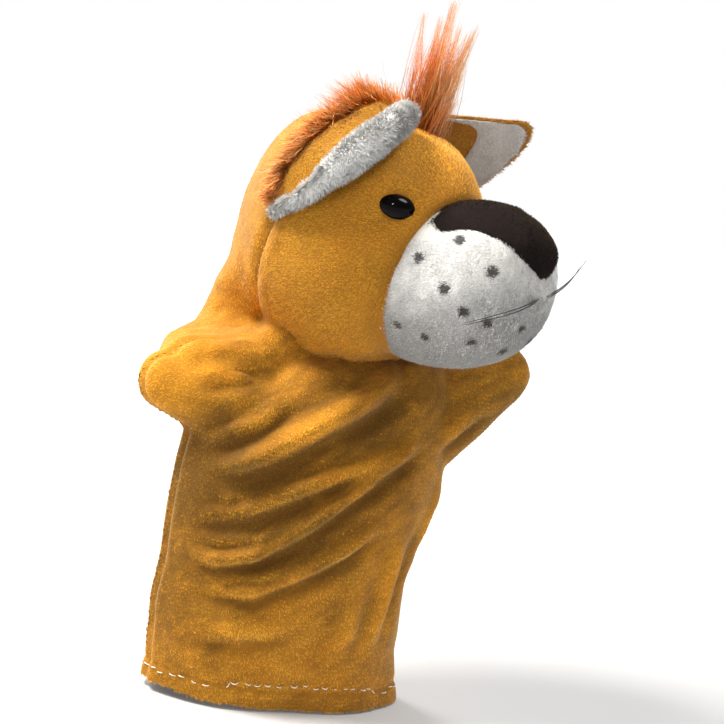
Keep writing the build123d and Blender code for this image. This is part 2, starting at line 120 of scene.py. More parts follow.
def seam_distance(local):
    """How far points of the head lie in front of the seam's plane."""
    return local @ SEAM_NORMAL + SEAM_OFFSET


def seam_point(angle, side, radius):
    """A point on the face seam, by angle down from the crown, in head directions."""
    ring = math.sqrt(radius**2 - SEAM_OFFSET**2)
    across = np.array([0.0, side, 0.0])
    around = SEAM_RISE * math.cos(angle) + across * math.sin(angle)
    return -SEAM_OFFSET * SEAM_NORMAL + ring * around


def smoothstep(low, high, value):
    share = np.clip((value - low) / (high - low), 0, 1)
    return share * share * (3 - 2 * share)


def lattice_noise(points, scale, seed):
    """Smooth noise from -1 to 1 at each point, from a seeded lattice of that spacing."""
    table = np.random.default_rng(seed).uniform(-1, 1, 4096)
    scaled = np.asarray(points, float) / scale
    cell = np.floor(scaled).astype(np.int64)
    share = scaled - cell
    share = share * share * (3 - 2 * share)
    total = np.zeros(len(scaled))
    for corner in itertools.product((0, 1), repeat=3):
        spot = cell + np.array(corner)
        mixed = spot[:, 0] * 73856093 ^ spot[:, 1] * 19349663 ^ spot[:, 2] * 83492791
        weight = np.ones(len(scaled))
        for axis in range(3):
            weight *= share[:, axis] if corner[axis] else 1 - share[:, axis]
        total += weight * table[mixed & 4095]
    return total


# ------------------------------------------------------------------ mesh helpers
def make_mesh(name, points, faces, smooth=True):
    """A mesh object in the row's frame, from points in millimetres."""
    mesh = bpy.data.meshes.new(name)
    mesh.from_pydata((np.asarray(points) * MM).tolist(), [], [list(f) for f in faces])
    mesh.validate()
    if smooth:
        mesh.shade_smooth()
    mesh.update()
    piece = bpy.data.objects.new(name, mesh)
    bpy.context.scene.collection.objects.link(piece)
    return piece


def grid_faces(rows, columns, wrap=True):
    """Quads between neighbouring rows of points, wrapped around if asked."""
    faces = []
    last = columns if wrap else columns - 1
    for row in range(rows - 1):
        for column in range(last):
            beside = (column + 1) % columns
            a = row * columns + column
            b = row * columns + beside
            faces.append((a, b, b + columns, a + columns))
    return faces


def ring_stack(rings):
    """A closed mesh through a stack of rings, as points and faces."""
    rings = np.asarray(rings, float)
    count, columns = rings.shape[:2]
    points = rings.reshape(-1, 3)
    faces = grid_faces(count, columns)
    faces.append(tuple(range(columns))[::-1])
    faces.append(tuple(range((count - 1) * columns, count * columns)))
    return points, faces


def mesh_arrays(mesh):
    """Points in millimetres, vertex normals, and triangles of a mesh."""
    points = np.zeros(len(mesh.vertices) * 3, np.float64)
    mesh.vertices.foreach_get("co", points)
    normals = np.zeros(len(mesh.vertices) * 3, np.float64)
    mesh.vertices.foreach_get("normal", normals)
    mesh.calc_loop_triangles()
    triangles = np.zeros(len(mesh.loop_triangles) * 3, np.int64)
    mesh.loop_triangles.foreach_get("vertices", triangles)
    return points.reshape(-1, 3) / MM, normals.reshape(-1, 3), triangles.reshape(-1, 3)


def set_points(mesh, points):
    mesh.vertices.foreach_set("co", (np.asarray(points) * MM).ravel())
    mesh.update()


def relax(mesh, rounds, pull=0.5, push=-0.52):
    """Smooths a mesh without shrinking it much."""
    edges = np.zeros(len(mesh.edges) * 2, np.int64)
    mesh.edges.foreach_get("vertices", edges)
    edges = edges.reshape(-1, 2)
    points, _, _ = mesh_arrays(mesh)
    degree = np.bincount(edges.ravel(), minlength=len(points))[:, None]
    for turn in range(rounds):
        for share in (pull, push):
            total = np.zeros_like(points)
            for axis in range(3):
                total[:, axis] = np.bincount(
                    edges[:, 0], points[edges[:, 1], axis], len(points)
                ) + np.bincount(edges[:, 1], points[edges[:, 0], axis], len(points))
            points = points + share * (total / np.maximum(degree, 1) - points)
    set_points(mesh, points)


def thicken(piece, thickness):
    """Gives an open cloth mesh its thickness, inwards, with its rim closed."""
    solidify = piece.modifiers.new("thickness", "SOLIDIFY")
    solidify.thickness = thickness * MM
    solidify.offset = -1.0
    solidify.use_rim = True
    apply_modifiers(piece)


def apply_modifiers(piece):
    graph = bpy.context.evaluated_depsgraph_get()
    mesh = bpy.data.meshes.new_from_object(piece.evaluated_get(graph))
    piece.modifiers.clear()
    old = piece.data
    piece.data = mesh
    mesh.name = piece.name
    bpy.data.meshes.remove(old)


def face_outwards(piece, middle):
    """Turns a mesh's faces so that they look away from a middle point."""
    points, normals, _ = mesh_arrays(piece.data)
    if ((points - np.asarray(middle)) * normals).sum() < 0:
        piece.data.flip_normals()
        piece.data.update()
    return piece


# ------------------------------------------------------------------ materials
def node_material(name):
    material = bpy.data.materials.new(name)
    material.use_nodes = True
    return material, material.node_tree.nodes, material.node_tree.links


def add_noise(nodes, links, scale, detail=4.0, stretch=(1, 1, 1)):
    """A noise texture on object coordinates, scale in repeats a metre."""
    place = nodes.new("ShaderNodeTexCoord")
    mapping = nodes.new("ShaderNodeMapping")
    mapping.inputs["Scale"].default_value = stretch
    noise = nodes.new("ShaderNodeTexNoise")
    noise.inputs["Scale"].default_value = scale
    noise.inputs["Detail"].default_value = detail
    links.new(place.outputs["Object"], mapping.inputs["Vector"])
    links.new(mapping.outputs["Vector"], noise.inputs["Vector"])
    return noise.outputs["Fac"]


def add_mix(nodes, links, factor, first, second, mode="MIX"):
    """A colour mix. Each input is a socket or a plain colour or number."""
    mix = nodes.new("ShaderNodeMix")
    mix.data_type = "RGBA"
    mix.blend_type = mode
    for socket, value in ((0, factor), (6, first), (7, second)):
        if isinstance(value, bpy.types.NodeSocket):
            links.new(value, mix.inputs[socket])
        elif isinstance(value, (int, float)):
            mix.inputs[socket].default_value = value
        else:
            mix.inputs[socket].default_value = (*value, 1.0)
    return mix.outputs[2]


def add_range(nodes, links, value, low, high, start=0.0, end=1.0):
    ramp = nodes.new("ShaderNodeMapRange")
    ramp.interpolation_type = "SMOOTHSTEP"
    links.new(value, ramp.inputs["Value"])
    ramp.inputs["From Min"].default_value = low
    ramp.inputs["From Max"].default_value = high
    ramp.inputs["To Min"].default_value = start
    ramp.inputs["To Max"].default_value = end
    return ramp.outputs["Result"]


def add_attribute(nodes, name):
    attribute = nodes.new("ShaderNodeAttribute")
    attribute.attribute_name = name
    return attribute.outputs["Fac"]


def add_bump(nodes, links, height, strength, distance):
    bump = nodes.new("ShaderNodeBump")
    bump.inputs["Strength"].default_value = strength
    bump.inputs["Distance"].default_value = distance
    links.new(height, bump.inputs["Height"])
    shader = nodes["Principled BSDF"]
    links.new(bump.outputs["Normal"], shader.inputs["Normal"])


def set_surface(nodes, roughness, sheen=0.0, sheen_tint=(1, 1, 1), specular=0.5):
    shader = nodes["Principled BSDF"]
    shader.inputs["Roughness"].default_value = roughness
    shader.inputs["Sheen Weight"].default_value = sheen
    shader.inputs["Sheen Roughness"].default_value = 0.45
    shader.inputs["Sheen Tint"].default_value = (*sheen_tint, 1.0)
    shader.inputs["Specular IOR Level"].default_value = specular
    return shader


def pile_material(name, root, tip, warm, cool, roughness, sheen, specular, spots=None,
                  sheen_tint=(1.0, 0.62, 0.2)):
    """Short pile: dark at the root, light at the tip, with drifts of colour across it."""
    material, nodes, links = node_material(name)
    along = add_attribute(nodes, "tip")
    tone = add_attribute(nodes, "tone")
    drift = add_noise(nodes, links, 38.0, 3.0)
    patch = add_noise(nodes, links, 70.0, 3.0, (1.0, 1.0, 1.6))
    tips = add_mix(nodes, links, add_range(nodes, links, drift, 0.36, 0.66), tip, warm)
    tips = add_mix(nodes, links, add_range(nodes, links, patch, 0.5, 0.8, 0.0, 0.7), tips, cool)
    # Painted shade: where the tone is low the tips turn to the olive cool colour of shaded nap.
    tips = add_mix(nodes, links, add_range(nodes, links, tone, 0.1, 0.5, 0.9, 0.0), tips, cool)
    colour = add_mix(nodes, links, add_range(nodes, links, along, 0.0, 0.85), root, tips)
    # The tone attribute lightens or darkens the colour: random tone, and on the body, face and muzzle painted light
    # and shade.
    light = add_range(nodes, links, tone, 0.0, 1.0, 0.36, 1.4)
    shade = nodes.new("ShaderNodeHueSaturation")
    links.new(light, shade.inputs["Value"])
    links.new(colour, shade.inputs["Color"])
    colour = shade.outputs["Color"]
    if spots is not None:
        spot = add_attribute(nodes, "spot")
        colour = add_mix(nodes, links, spot, colour, spots)
    shader = set_surface(nodes, roughness, sheen, sheen_tint, specular)
    links.new(colour, shader.inputs["Base Color"])
    return material


def backing_material(name, dark, light, roughness, sheen=0.2, spots=None):
    """The knitted backing under a pile, seen only between the strands."""
    material, nodes, links = node_material(name)
    grain = add_noise(nodes, links, 900.0, 3.0, (1.0, 1.0, 2.2))
    drift = add_noise(nodes, links, 60.0, 3.0)
    colour = add_mix(nodes, links, add_range(nodes, links, grain, 0.35, 0.7), dark, light)
    colour = add_mix(
        nodes, links, add_range(nodes, links, drift, 0.3, 0.75), colour, dark, "MIX"
    )
    if spots is not None:
        colour = add_mix(nodes, links, add_attribute(nodes, "spot"), colour, spots)
    # The body's painted light and shade, read from an attribute, lightens or darkens the backing.
    painted_light_shade = add_attribute(nodes, "painted_light_shade")
    shade = nodes.new("ShaderNodeHueSaturation")
    links.new(
        add_range(nodes, links, painted_light_shade, -0.5, 0.5, 0.4, 1.6), shade.inputs["Value"]
    )
    links.new(colour, shade.inputs["Color"])
    colour = shade.outputs["Color"]
    shader = set_surface(nodes, roughness, sheen, (1.0, 0.85, 0.6), 0.25)
    links.new(colour, shader.inputs["Base Color"])
    add_bump(nodes, links, grain, 0.5, 0.0004)
    return material


def plain_material(name, dark, light, scale, roughness, specular=0.5, bump=0.2, coat=0.0):
    """Plastic, thread or filling: two close colours and a fine grain."""
    material, nodes, links = node_material(name)
    grain = add_noise(nodes, links, scale, 4.0)
    colour = add_mix(nodes, links, add_range(nodes, links, grain, 0.35, 0.65), dark, light)
    shader = set_surface(nodes, roughness, 0.0, (1, 1, 1), specular)
    shader.inputs["Coat Weight"].default_value = coat
    shader.inputs["Coat Roughness"].default_value = 0.03
    links.new(colour, shader.inputs["Base Color"])
    add_bump(nodes, links, grain, bump, 0.0002)
    return material


GOLD_PILE = pile_material(
    "gold pile",
    root=(0.42, 0.19, 0.010),
    tip=(0.74, 0.36, 0.026),
    warm=(0.74, 0.30, 0.018),
    cool=(0.58, 0.33, 0.024),
    roughness=0.55,
    sheen=0.4,
    specular=0.16,
    sheen_tint=(1.0, 0.68, 0.26),
)
GOLD_BACKING = backing_material("gold backing", (0.30, 0.12, 0.007), (0.46, 0.2, 0.014), 0.9)
WHITE_PILE = pile_material(
    "white pile",
    root=(0.60, 0.585, 0.55),
    tip=(0.93, 0.93, 0.92),
    warm=(0.88, 0.88, 0.87),
    cool=(0.91, 0.91, 0.90),
    roughness=0.6,
    sheen=0.1,
    specular=0.2,
    spots=(0.03, 0.024, 0.026),
    sheen_tint=(1.0, 1.0, 1.0),
)
WHITE_BACKING = backing_material(
    "white backing", (0.60, 0.59, 0.55), (0.80, 0.79, 0.77), 0.9, 0.1, (0.08, 0.07, 0.07)
)
DARK_PILE = pile_material(
    "dark pile",
    root=(0.005, 0.003, 0.003),
    tip=(0.018, 0.009, 0.007),
    warm=(0.014, 0.007, 0.006),
    cool=(0.024, 0.013, 0.010),
    roughness=0.8,
    sheen=0.05,
    specular=0.12,
)
DARK_BACKING = backing_material("dark backing", (0.004, 0.002, 0.002), (0.013, 0.007, 0.006), 0.9, 0.0)
HAIR = pile_material(
    "mane hair",
    root=(0.50, 0.14, 0.012),
    tip=(1.0, 0.52, 0.18),
    warm=(1.0, 0.38, 0.08),
    cool=(1.0, 0.62, 0.28),
    roughness=0.4,
    sheen=0.0,
    specular=0.4,
)
BLACK_GLASSY = plain_material("eye plastic", (0.002, 0.001, 0.001), (0.005, 0.003, 0.002), 40.0, 0.1, 0.12)
WASHER_PLASTIC = plain_material("washer plastic", (0.74, 0.74, 0.72), (0.84, 0.84, 0.82), 300.0, 0.45)
BRISTLE = plain_material("bristle", (0.012, 0.012, 0.012), (0.03, 0.03, 0.03), 800.0, 0.35)
GOLD_THREAD = plain_material("gold thread", (0.26, 0.11, 0.015), (0.46, 0.22, 0.03), 2500.0, 0.8, 0.3, 0.6)
WHITE_THREAD = plain_material("white thread", (0.74, 0.68, 0.55), (0.92, 0.88, 0.78), 2500.0, 0.8, 0.3, 0.6)
LINING = plain_material("lining cloth", (0.50, 0.34, 0.14), (0.66, 0.47, 0.22), 1800.0, 0.9, 0.2, 0.7)
FILLING = plain_material("fibre filling", (0.72, 0.72, 0.70), (0.9, 0.9, 0.88), 700.0, 0.95, 0.2, 1.0)


# ------------------------------------------------------------------ pile
def scatter(surface, density, rng, keep=None):
    """Random spots on a surface: their points and normals."""
    points, normals, triangles = surface
    corners = points[triangles]
    cross = np.cross(corners[:, 1] - corners[:, 0], corners[:, 2] - corners[:, 0])
    area = np.linalg.norm(cross, axis=1) / 2
    count = int(area.sum() * density)
    chosen = rng.choice(len(triangles), count, p=area / area.sum())
    share = rng.random((count, 2))
    flip = share.sum(1) > 1
    share[flip] = 1 - share[flip]
    weights = np.column_stack([1 - share.sum(1), share])[:, :, None]
    spots = (corners[chosen] * weights).sum(1)
    directions = unit((normals[triangles][chosen] * weights).sum(1))
    if keep is not None:
        inside = keep(spots)
        spots = spots[inside]
        directions = directions[inside]
    return spots, directions


def grow_pile(name, surface, material, density, length, width, lift, groom, seed,
              tone=None, spot=None, keep=None, spread=0.35, sink=0.25, bend=0.0):
    """Tapered strands of pile on a surface, each its own two triangles and tip.

    lift is the strand's slope off the cloth in radians and groom gives the lie of
    the nap at each spot.
    """
    rng = np.random.default_rng(seed)
    spots, normals = scatter(surface, density, rng, keep)
    count = len(spots)
    lie = groom(spots, normals) + spread * rng.normal(size=(count, 3))
    lie = unit(lie - normals * (lie * normals).sum(1, keepdims=True))
    slope = lift * rng.uniform(0.55, 1.45, count)[:, None]
    reach = length * rng.uniform(0.65, 1.25, count)[:, None]
    along = lie * np.cos(slope) + normals * np.sin(slope)
    side = unit(np.cross(normals, lie)) * (width / 2)
    root = spots - normals * sink
    middle = root + along * reach * 0.55 + normals * (bend * reach)
    tip = root + along * reach
    points = np.stack(
        [root - side, root + side, middle - side * 0.75, middle + side * 0.75, tip], 1
    ).reshape(-1, 3)
    first = np.arange(count)[:, None] * 5
    triangles = np.concatenate(
        [first + [0, 3, 1], first + [0, 2, 3], first + [2, 4, 3]], 1
    ).reshape(-1, 3)
    blade_normal = unit(np.cross(along, side))
    shading = unit(blade_normal * 0.3 + normals * 0.7)
    values = {
        "tip": np.tile([0.0, 0.0, 0.55, 0.55, 1.0], count),
        "tone": np.repeat(rng.normal(0.5, 0.07, count), 5),
    }
    if tone is not None:
        values["tone"] = values["tone"] + np.repeat(tone(spots), 5)
    if spot is not None:
        values["spot"] = np.repeat(spot(spots, rng), 5)
    piece = strand_object(name, points, triangles, values, np.repeat(shading, 5, 0), 5)
    piece.data.materials.append(material)
    return piece


def strand_object(name, points, triangles, values, shading, per_strand):
    """An object of many strands, each with its own cell of the UV map."""
    mesh = bpy.data.meshes.new(name)
    mesh.vertices.add(len(points))
    mesh.vertices.foreach_set("co", (points * MM).astype(np.float32).ravel())
    mesh.loops.add(len(triangles) * 3)
    mesh.loops.foreach_set("vertex_index", triangles.astype(np.int32).ravel())
    mesh.polygons.add(len(triangles))
    mesh.polygons.foreach_set("loop_start", np.arange(0, len(triangles) * 3, 3, dtype=np.int32))
    mesh.update(calc_edges=True)
    for key, value in values.items():
        attribute = mesh.attributes.new(key, "FLOAT", "POINT")
        attribute.data.foreach_set("value", value.astype(np.float32))
    strands = len(points) // per_strand
    cells = max(1, math.ceil(math.sqrt(strands)))
    number = np.arange(strands)
    corner = np.column_stack([number % cells, number // cells]).astype(float)
    inner = strand_cell(per_strand)
    places = (corner[:, None, :] + inner[None]).reshape(-1, 2) / cells
    layer = mesh.uv_layers.new(name="OFBake")
    layer.data.foreach_set("uv", places[triangles.ravel()].astype(np.float32).ravel())
    mesh.shade_smooth()
    mesh.normals_split_custom_set(shading[triangles.ravel()].tolist())
    piece = bpy.data.objects.new(name, mesh)
    bpy.context.scene.collection.objects.link(piece)
    return piece


def strand_cell(per_strand):
    """Where a strand's points lie in its own cell of the UV map."""
    rows = per_strand // 2
    places = []
    for row in range(rows):
        height = 0.12 + 0.76 * row / max(rows, 1)
        places.append((0.12, height))
        places.append((0.88, height))
    if per_strand % 2:
        places.append((0.5, 0.9))
    return np.array(places)


def hair_lock(name, roots, tips, lean, width, material, seed, steps=5, curl=1.6):
    """Long hair: thin tapered ribbons from roots to tips, each with its own curl."""
    rng = np.random.default_rng(seed)
    count = len(roots)
    across = unit(np.cross(tips - roots, lean + 0.3 * rng.normal(size=(count, 3))))
    sway = rng.normal(size=(count, 3)) * curl
    ripple = rng.normal(size=(count, 3)) * curl * 0.35
    turns = rng.uniform(1.0, 2.4, count)[:, None]
    phase = rng.uniform(0, 2 * math.pi, count)[:, None]
    layers = []
    tips_share = []
    for step in range(steps + 1):
        share = step / steps
        spot = roots + (tips - roots) * share + sway * math.sin(math.pi * share) * 0.6
        spot = spot + ripple * np.sin(phase + turns * 2 * math.pi * share) * share
        half = across * width * (1 - 0.75 * share) / 2
        layers.append(spot - half)
        layers.append(spot + half)
        tips_share += [share, share]
    points = np.stack(layers, 1).reshape(-1, 3)
    per = 2 * (steps + 1)
    first = np.arange(count)[:, None] * per
    parts = []
    for step in range(steps):
        a = 2 * step
        parts += [first + [a, a + 1, a + 3], first + [a, a + 3, a + 2]]
    triangles = np.concatenate(parts, 1).reshape(-1, 3)
    values = {
        "tip": np.tile(tips_share, count),
        "tone": np.repeat(np.clip(rng.normal(0.5, 0.22, count), 0, 1), per),
    }
    facing = unit(np.cross(across, tips - roots))
    piece = strand_object(name, points, triangles, values, np.repeat(facing, per, 0), per)
    piece.data.materials.append(material)
    return piece


# ------------------------------------------------------------------ the glove's cloth
def soft_table(keys, values, place):
    """Values read from a table with eased steps between its keys."""
    keys = np.asarray(keys, float)
    values = np.asarray(values, float)
    index = np.clip(np.searchsorted(keys, place) - 1, 0, len(keys) - 2)
    share = np.clip((place - keys[index]) / (keys[index + 1] - keys[index]), 0, 1)
    return values[index] + (values[index + 1] - values[index]) * share


def torso_rings():
    """The hand's part of the glove, bulging into a collar below the head."""
    heights = [-9, 0, 10, 22, 36, 54, 72, 92, 113, 125, 133, 139, 142]
    right_reach = [55, 55, 55.5, 56.5, 58, 57, 57, 58.5, 57, 50, 40, 31, 20]
    left_reach = [56, 56, 53, 49, 49.5, 48.5, 50.5, 54, 55, 52, 48, 42, 32]
    half_depths = [22, 23, 25.5, 28, 29.5, 30.5, 31, 31.5, 30, 29, 27, 24, 16]
    middles = [0, 0, 0, 0, 0, 0, 0, 0, 1, 2, 4, 5, 6]
    lean = 0.17
    around = np.linspace(0, 2 * math.pi, 128, endpoint=False)
    sideways = np.cos(around)
    rings = []
    for z in np.linspace(heights[0], heights[-1], 90):
        wide = np.where(
            sideways < 0,
            soft_table(heights, right_reach, z),
            soft_table(heights, left_reach, z),
        )
        deep = soft_table(heights, half_depths, z)
        back = soft_table(heights, middles, z)
        x = wide * np.sign(sideways) * np.abs(sideways) ** 0.92
        y = back + deep * np.sin(around)
        rise = lean * smoothstep(100, 139, z) * (x + 6)
        rings.append(np.column_stack([x, y, z + rise]))
    return rings


def arm_rings(root, direction, radii, flatten, droop):
    """A tapered sleeve along a direction, with a blunt rounded end."""
    direction = unit(np.array(direction, float))
    across = np.array([0.0, 1.0, 0.0])
    over = np.cross(direction, across)
    around = np.linspace(0, 2 * math.pi, 48, endpoint=False)
    reach = radii[-1][0]
    rings = []
    places = [r[0] for r in radii]
    sizes = [r[1] for r in radii]
    for along in np.linspace(places[0], reach, 40):
        size = soft_table(places, sizes, along)
        left = (reach - along) / sizes[-1]
        if left < 1:
            size *= max(0.05, 1 - (1 - left) ** 2.6) ** (1 / 2.6)
        middle = np.asarray(root) + direction * along
        middle = middle - np.array([0, 0, droop]) * max(0.0, along / reach) ** 2
        rings.append(
            middle
            + np.outer(np.cos(around), across) * size * flatten
            + np.outer(np.sin(around), over) * size
        )
    return rings


def hood_rings():
    """The cloth behind the head, hanging from the skull and flaring to the shoulders."""
    around = np.linspace(-math.pi, math.pi, 144, endpoint=False)
    heights = [112, 120, 128, 136, 142, 150, 159, 165, 172, 187]
    right_reach = [56, 69, 74, 71, 64, 60.5, 57, 53.5, 51, 50]
    left_reach = [50, 56, 60, 61, 59, 56.5, 53.5, 51, 50, 50]
    back_reach = [26, 30, 34, 39, 43, 46, 47.5, 48.5, 49.5, 50]
    rings = []
    for z in np.linspace(112, 200, 80):
        up = z - HEAD[2]
        ball = math.sqrt(max(SKULL**2 - up**2, 1.0))
        turned = around[:, None]
        direction = -FORWARD * np.cos(turned) + LEFT * np.sin(turned)
        level = min(z, 187.0)
        side_reach = np.where(
            direction[:, 0] < 0,
            soft_table(heights, right_reach, level),
            soft_table(heights, left_reach, level),
        )
        deep = soft_table(heights, back_reach, level)
        oval = 1 / np.sqrt((direction[:, 0] / side_reach) ** 2 + (direction[:, 1] / deep) ** 2)
        if z > 187:
            oval = np.full(len(around), ball)
        seam_forward = -SEAM_BACK + math.tan(SEAM_TILT) * up
        seam_turn = math.acos(np.clip(-seam_forward / max(ball, 20.0), -0.4, 0.95))
        seam_turn = max(seam_turn, math.radians(60))
        inner = math.sqrt(max((SKULL - 5) ** 2 - up**2, 20.0**2))
        away = np.abs(around)
        follow = smoothstep(seam_turn - 0.55, seam_turn - 0.05, away)
        tucked = smoothstep(seam_turn + 0.15, seam_turn + 0.6, away)
        low = smoothstep(150, 138, z)
        near_ball = max(ball, 34.0)
        reach = oval + (near_ball - oval) * follow * (1 - low)
        reach = reach + (inner - reach) * tucked
        rings.append(
            np.array([HEAD[0], HEAD[1], z]) + direction * reach[:, None]
        )
    return rings


def ball_rings():
    """The back of the skull, shrunk ahead of the face seam where the face covers it."""
    around = np.linspace(0, 2 * math.pi, 96, endpoint=False)
    rings = []
    for tilt in np.linspace(0.02, math.pi - 0.02, 64):
        local = np.column_stack(
            [
                np.cos(around) * math.sin(tilt),
                np.sin(around) * math.sin(tilt),
                np.full(len(around), -math.cos(tilt)),
            ]
        )
        spots = local * SKULL
        ahead = smoothstep(5, 14, seam_distance(spots))
        hump = np.exp(-(np.linalg.norm(spots - [-24, -17, 38], axis=1) / 20) ** 2)
        hump += 0.7 * np.exp(-(np.linalg.norm(spots - [-24, 17, 38], axis=1) / 20) ** 2)
        rings.append(head_to_row(local * (SKULL - 6 * ahead + 4.5 * hump)[:, None]))
    return rings


RIGHT_PIVOT = millimetres(JOINTS["right_arm_swing"]["pos"]) if "pos" in JOINTS["right_arm_swing"] else np.array([-50, 0, 117.0])
LEFT_PIVOT = millimetres(JOINTS["left_arm_swing"]["pos"]) if "pos" in JOINTS["left_arm_swing"] else np.array([48, 0, 117.0])
RIGHT_REACH = np.array([-math.cos(math.radians(5)), 0, math.sin(math.radians(5))])
LEFT_REACH = np.array([math.cos(math.radians(41)), 0, math.sin(math.radians(41))])


def build_cloth():
    """The whole glove as one smooth closed skin, before folds and cuts."""
    shapes = [
        torso_rings(),
        arm_rings(RIGHT_PIVOT + [0, 0, 3], RIGHT_REACH, [(-30, 17), (-6, 18), (8, 15), (18, 11), (28.5, 8.0)], 0.95, -1.0),
        arm_rings(LEFT_PIVOT + [-2, 0, 2], LEFT_REACH, [(-30, 18.5), (0, 18.5), (20, 15.5), (49.5, 10.2)], 0.85, 0.0),
        hood_rings(),
        ball_rings(),
    ]
    points = []
    faces = []
    for rings in shapes:
        more, sides = ring_stack(rings)
        offset = sum(len(p) for p in points)
        points.append(more)
        faces += [tuple(corner + offset for corner in side) for side in sides]
    skin = make_mesh("glove_skin", np.concatenate(points), faces)
    remesh = skin.modifiers.new("remesh", "REMESH")
    remesh.mode = "VOXEL"
    remesh.voxel_size = 1.5 * MM
    apply_modifiers(skin)
    relax(skin.data, 30, 0.5, -0.5)
    return skin


# Each fold runs along the cloth from one end to the other; height and width follow.
FOLDS = [
    ([(-48, -18, 92), (-37, -24, 101), (-14, -29, 118), (4, -26, 130), (20, -18, 142)], 4.0, 5.0),
    ([(-54, -9, 72), (-33, -26, 83), (-16, -30, 93), (4, -31, 103), (24, -28, 115)], 2.4, 3.4),
    ([(-53, -9, 60), (-42, -20, 59), (-30, -26, 64), (-14, -30, 77), (12, -30, 101),
      (34, -24, 118)], 3.0, 3.6),
    ([(-52, -10, 46), (-27, -27, 50), (-12, -30, 59), (6, -31, 71), (22, -29, 84)], 2.4, 3.4),
    ([(-52, -12, 91), (-40, -22, 98), (-28, -27, 107)], 2.2, 2.6),
    ([(-54, -10, 66), (-42, -20, 66), (-28, -26, 71), (-12, -30, 84)], 1.8, 2.2),
    ([(-54, -10, 53), (-42, -20, 52), (-26, -27, 56), (-8, -30, 66)], 1.8, 2.2),
    ([(-54, -10, 81), (-42, -20, 84), (-26, -27, 92)], 1.8, 2.4),
    ([(-50, -13, 30), (-28, -26, 32), (-8, -30, 38)], 1.2, 3.6),
    ([(34, -24, 80), (32, -25, 50), (27, -27, 24)], 1.8, 4.4),
    ([(14, -30, 60), (16, -30, 38), (12, -30, 18)], 1.0, 5.0),
    ([(44, -18, 62), (50, -13, 84), (52, -10, 104)], 1.6, 4.0),
    ([(-58, -8, 104), (-48, -20, 108), (-36, -24, 116), (-26, -24, 128)], 2.2, 3.6),
    ([(-66, -8, 126), (-52, -14, 131), (-38, -18, 134), (-24, -18, 137)], 2.0, 3.4),
    ([(40, -20, 108), (52, -15, 122), (66, -11, 136)], 2.0, 4.0),
    ([(50, 14, 96), (26, 28, 106), (2, 34, 118), (-18, 33, 128)], 3.0, 5.0),
    ([(-54, 10, 80), (-28, 28, 88), (0, 32, 98), (20, 32, 106)], 2.4, 4.2),
    ([(54, 9, 60), (28, 27, 64), (4, 31, 76), (-14, 31, 88)], 2.4, 4.4),
    ([(-50, 14, 42), (-22, 28, 46), (2, 31, 56)], 1.8, 4.0),
    ([(-58, 10, 112), (-40, 24, 122), (-22, 34, 134)], 2.4, 4.4),
    ([(-30, 30, 30), (-26, 29, 10), (-27, 28, -4)], 1.4, 5.0),
    ([(24, 29, 40), (28, 28, 16), (30, 27, -4)], 1.6, 5.0),
]


def fold_heights(points):
    """How far each point of the cloth is raised by the folds."""
    total = np.zeros(len(points))
    for line, height, width in FOLDS:
        line = np.array(line, float)
        lengths = np.linalg.norm(np.diff(line, axis=0), axis=1)
        starts = np.concatenate([[0], np.cumsum(lengths)])
        nearest = np.full(len(points), 1e9)
        place = np.zeros(len(points))
        under = np.zeros(len(points))
        for index in range(len(line) - 1):
            step = line[index + 1] - line[index]
            share = np.clip(((points - line[index]) @ step) / (step @ step), 0, 1)
            gap = points - (line[index] + share[:, None] * step)
            distance = np.linalg.norm(gap, axis=1)
            closer = distance < nearest
            nearest = np.where(closer, distance, nearest)
            place = np.where(closer, starts[index] + share * lengths[index], place)
            under = np.where(closer, -gap[:, 2], under)
        ends = smoothstep(0, 18, place) * smoothstep(0, 18, starts[-1] - place)
        below = under > 0
        ridge = np.exp(-((nearest / width) ** 2))
        hollow = np.exp(-(((nearest - 1.7 * width) / (0.9 * width)) ** 2))
        total += 1.25 * height * ends * (ridge - np.where(below, 0.75, 0.25) * hollow)
    return total


def shape_cloth(skin):
    """Adds folds, seams and unevenness to the smooth skin."""
    points, normals, _ = mesh_arrays(skin.data)
    local = row_to_head(points)
    from_ball = np.linalg.norm(local, axis=1)
    on_body = smoothstep(150, 138, points[:, 2])
    rise = fold_heights(points) * smoothstep(156, 146, points[:, 2])
    rise += 1.3 * lattice_noise(points, 24, 11) * smoothstep(180, 150, points[:, 2])
    rise += 0.3 * lattice_noise(points, 9, 12)
    seam_side = np.abs(points[:, 1] + 2.0)
    on_side = smoothstep(30, 44, np.abs(points[:, 0])) * on_body
    rise -= 1.1 * np.exp(-((seam_side / 1.5) ** 2)) * on_side
    rise += 0.5 * np.exp(-(((seam_side - 3.5) / 2.0) ** 2)) * on_side
    gather = lattice_noise(points * np.array([1, 1, 0.2]), 5, 13)
    waist = np.exp(-(((points[:, 2] - 141) / 9) ** 2))
    rise += 1.0 * gather * waist
    to_seam = np.abs(seam_distance(local))
    near_ball = smoothstep(56, 51.5, from_ball)
    rise -= 1.6 * np.exp(-((to_seam / 1.6) ** 2)) * near_ball
    rise += 0.5 * np.exp(-(((to_seam - 5) / 3) ** 2)) * near_ball
    hem = smoothstep(12, 0, points[:, 2])
    moved = points + normals * rise[:, None]
    flare = hem[:, None] * np.array([1.0, 0, 0]) * np.sign(points[:, :1]) * 0.8
    wave = 1.2 * lattice_noise(points * np.array([1, 1, 0]), 17, 14) * hem
    moved = moved + flare + normals * wave[:, None]
    band = np.exp(-(((points[:, 2] - 8.5) / 1.3) ** 2))
    moved = moved - normals * (0.7 * band)[:, None]
    set_points(skin.data, moved)


def uneven_hem(points):
    """Lifts the hem at its right corner and makes its edge a little wavy."""
    near_edge = smoothstep(20, 0, points[:, 2])
    lift = 2.6 * smoothstep(-14, -56, points[:, 0])
    lift = lift + 0.9 * lattice_noise(points * np.array([1, 1, 0]), 12, 15)
    moved = points.copy()
    moved[:, 2] += np.maximum(lift, 0.0) * near_edge
    return moved


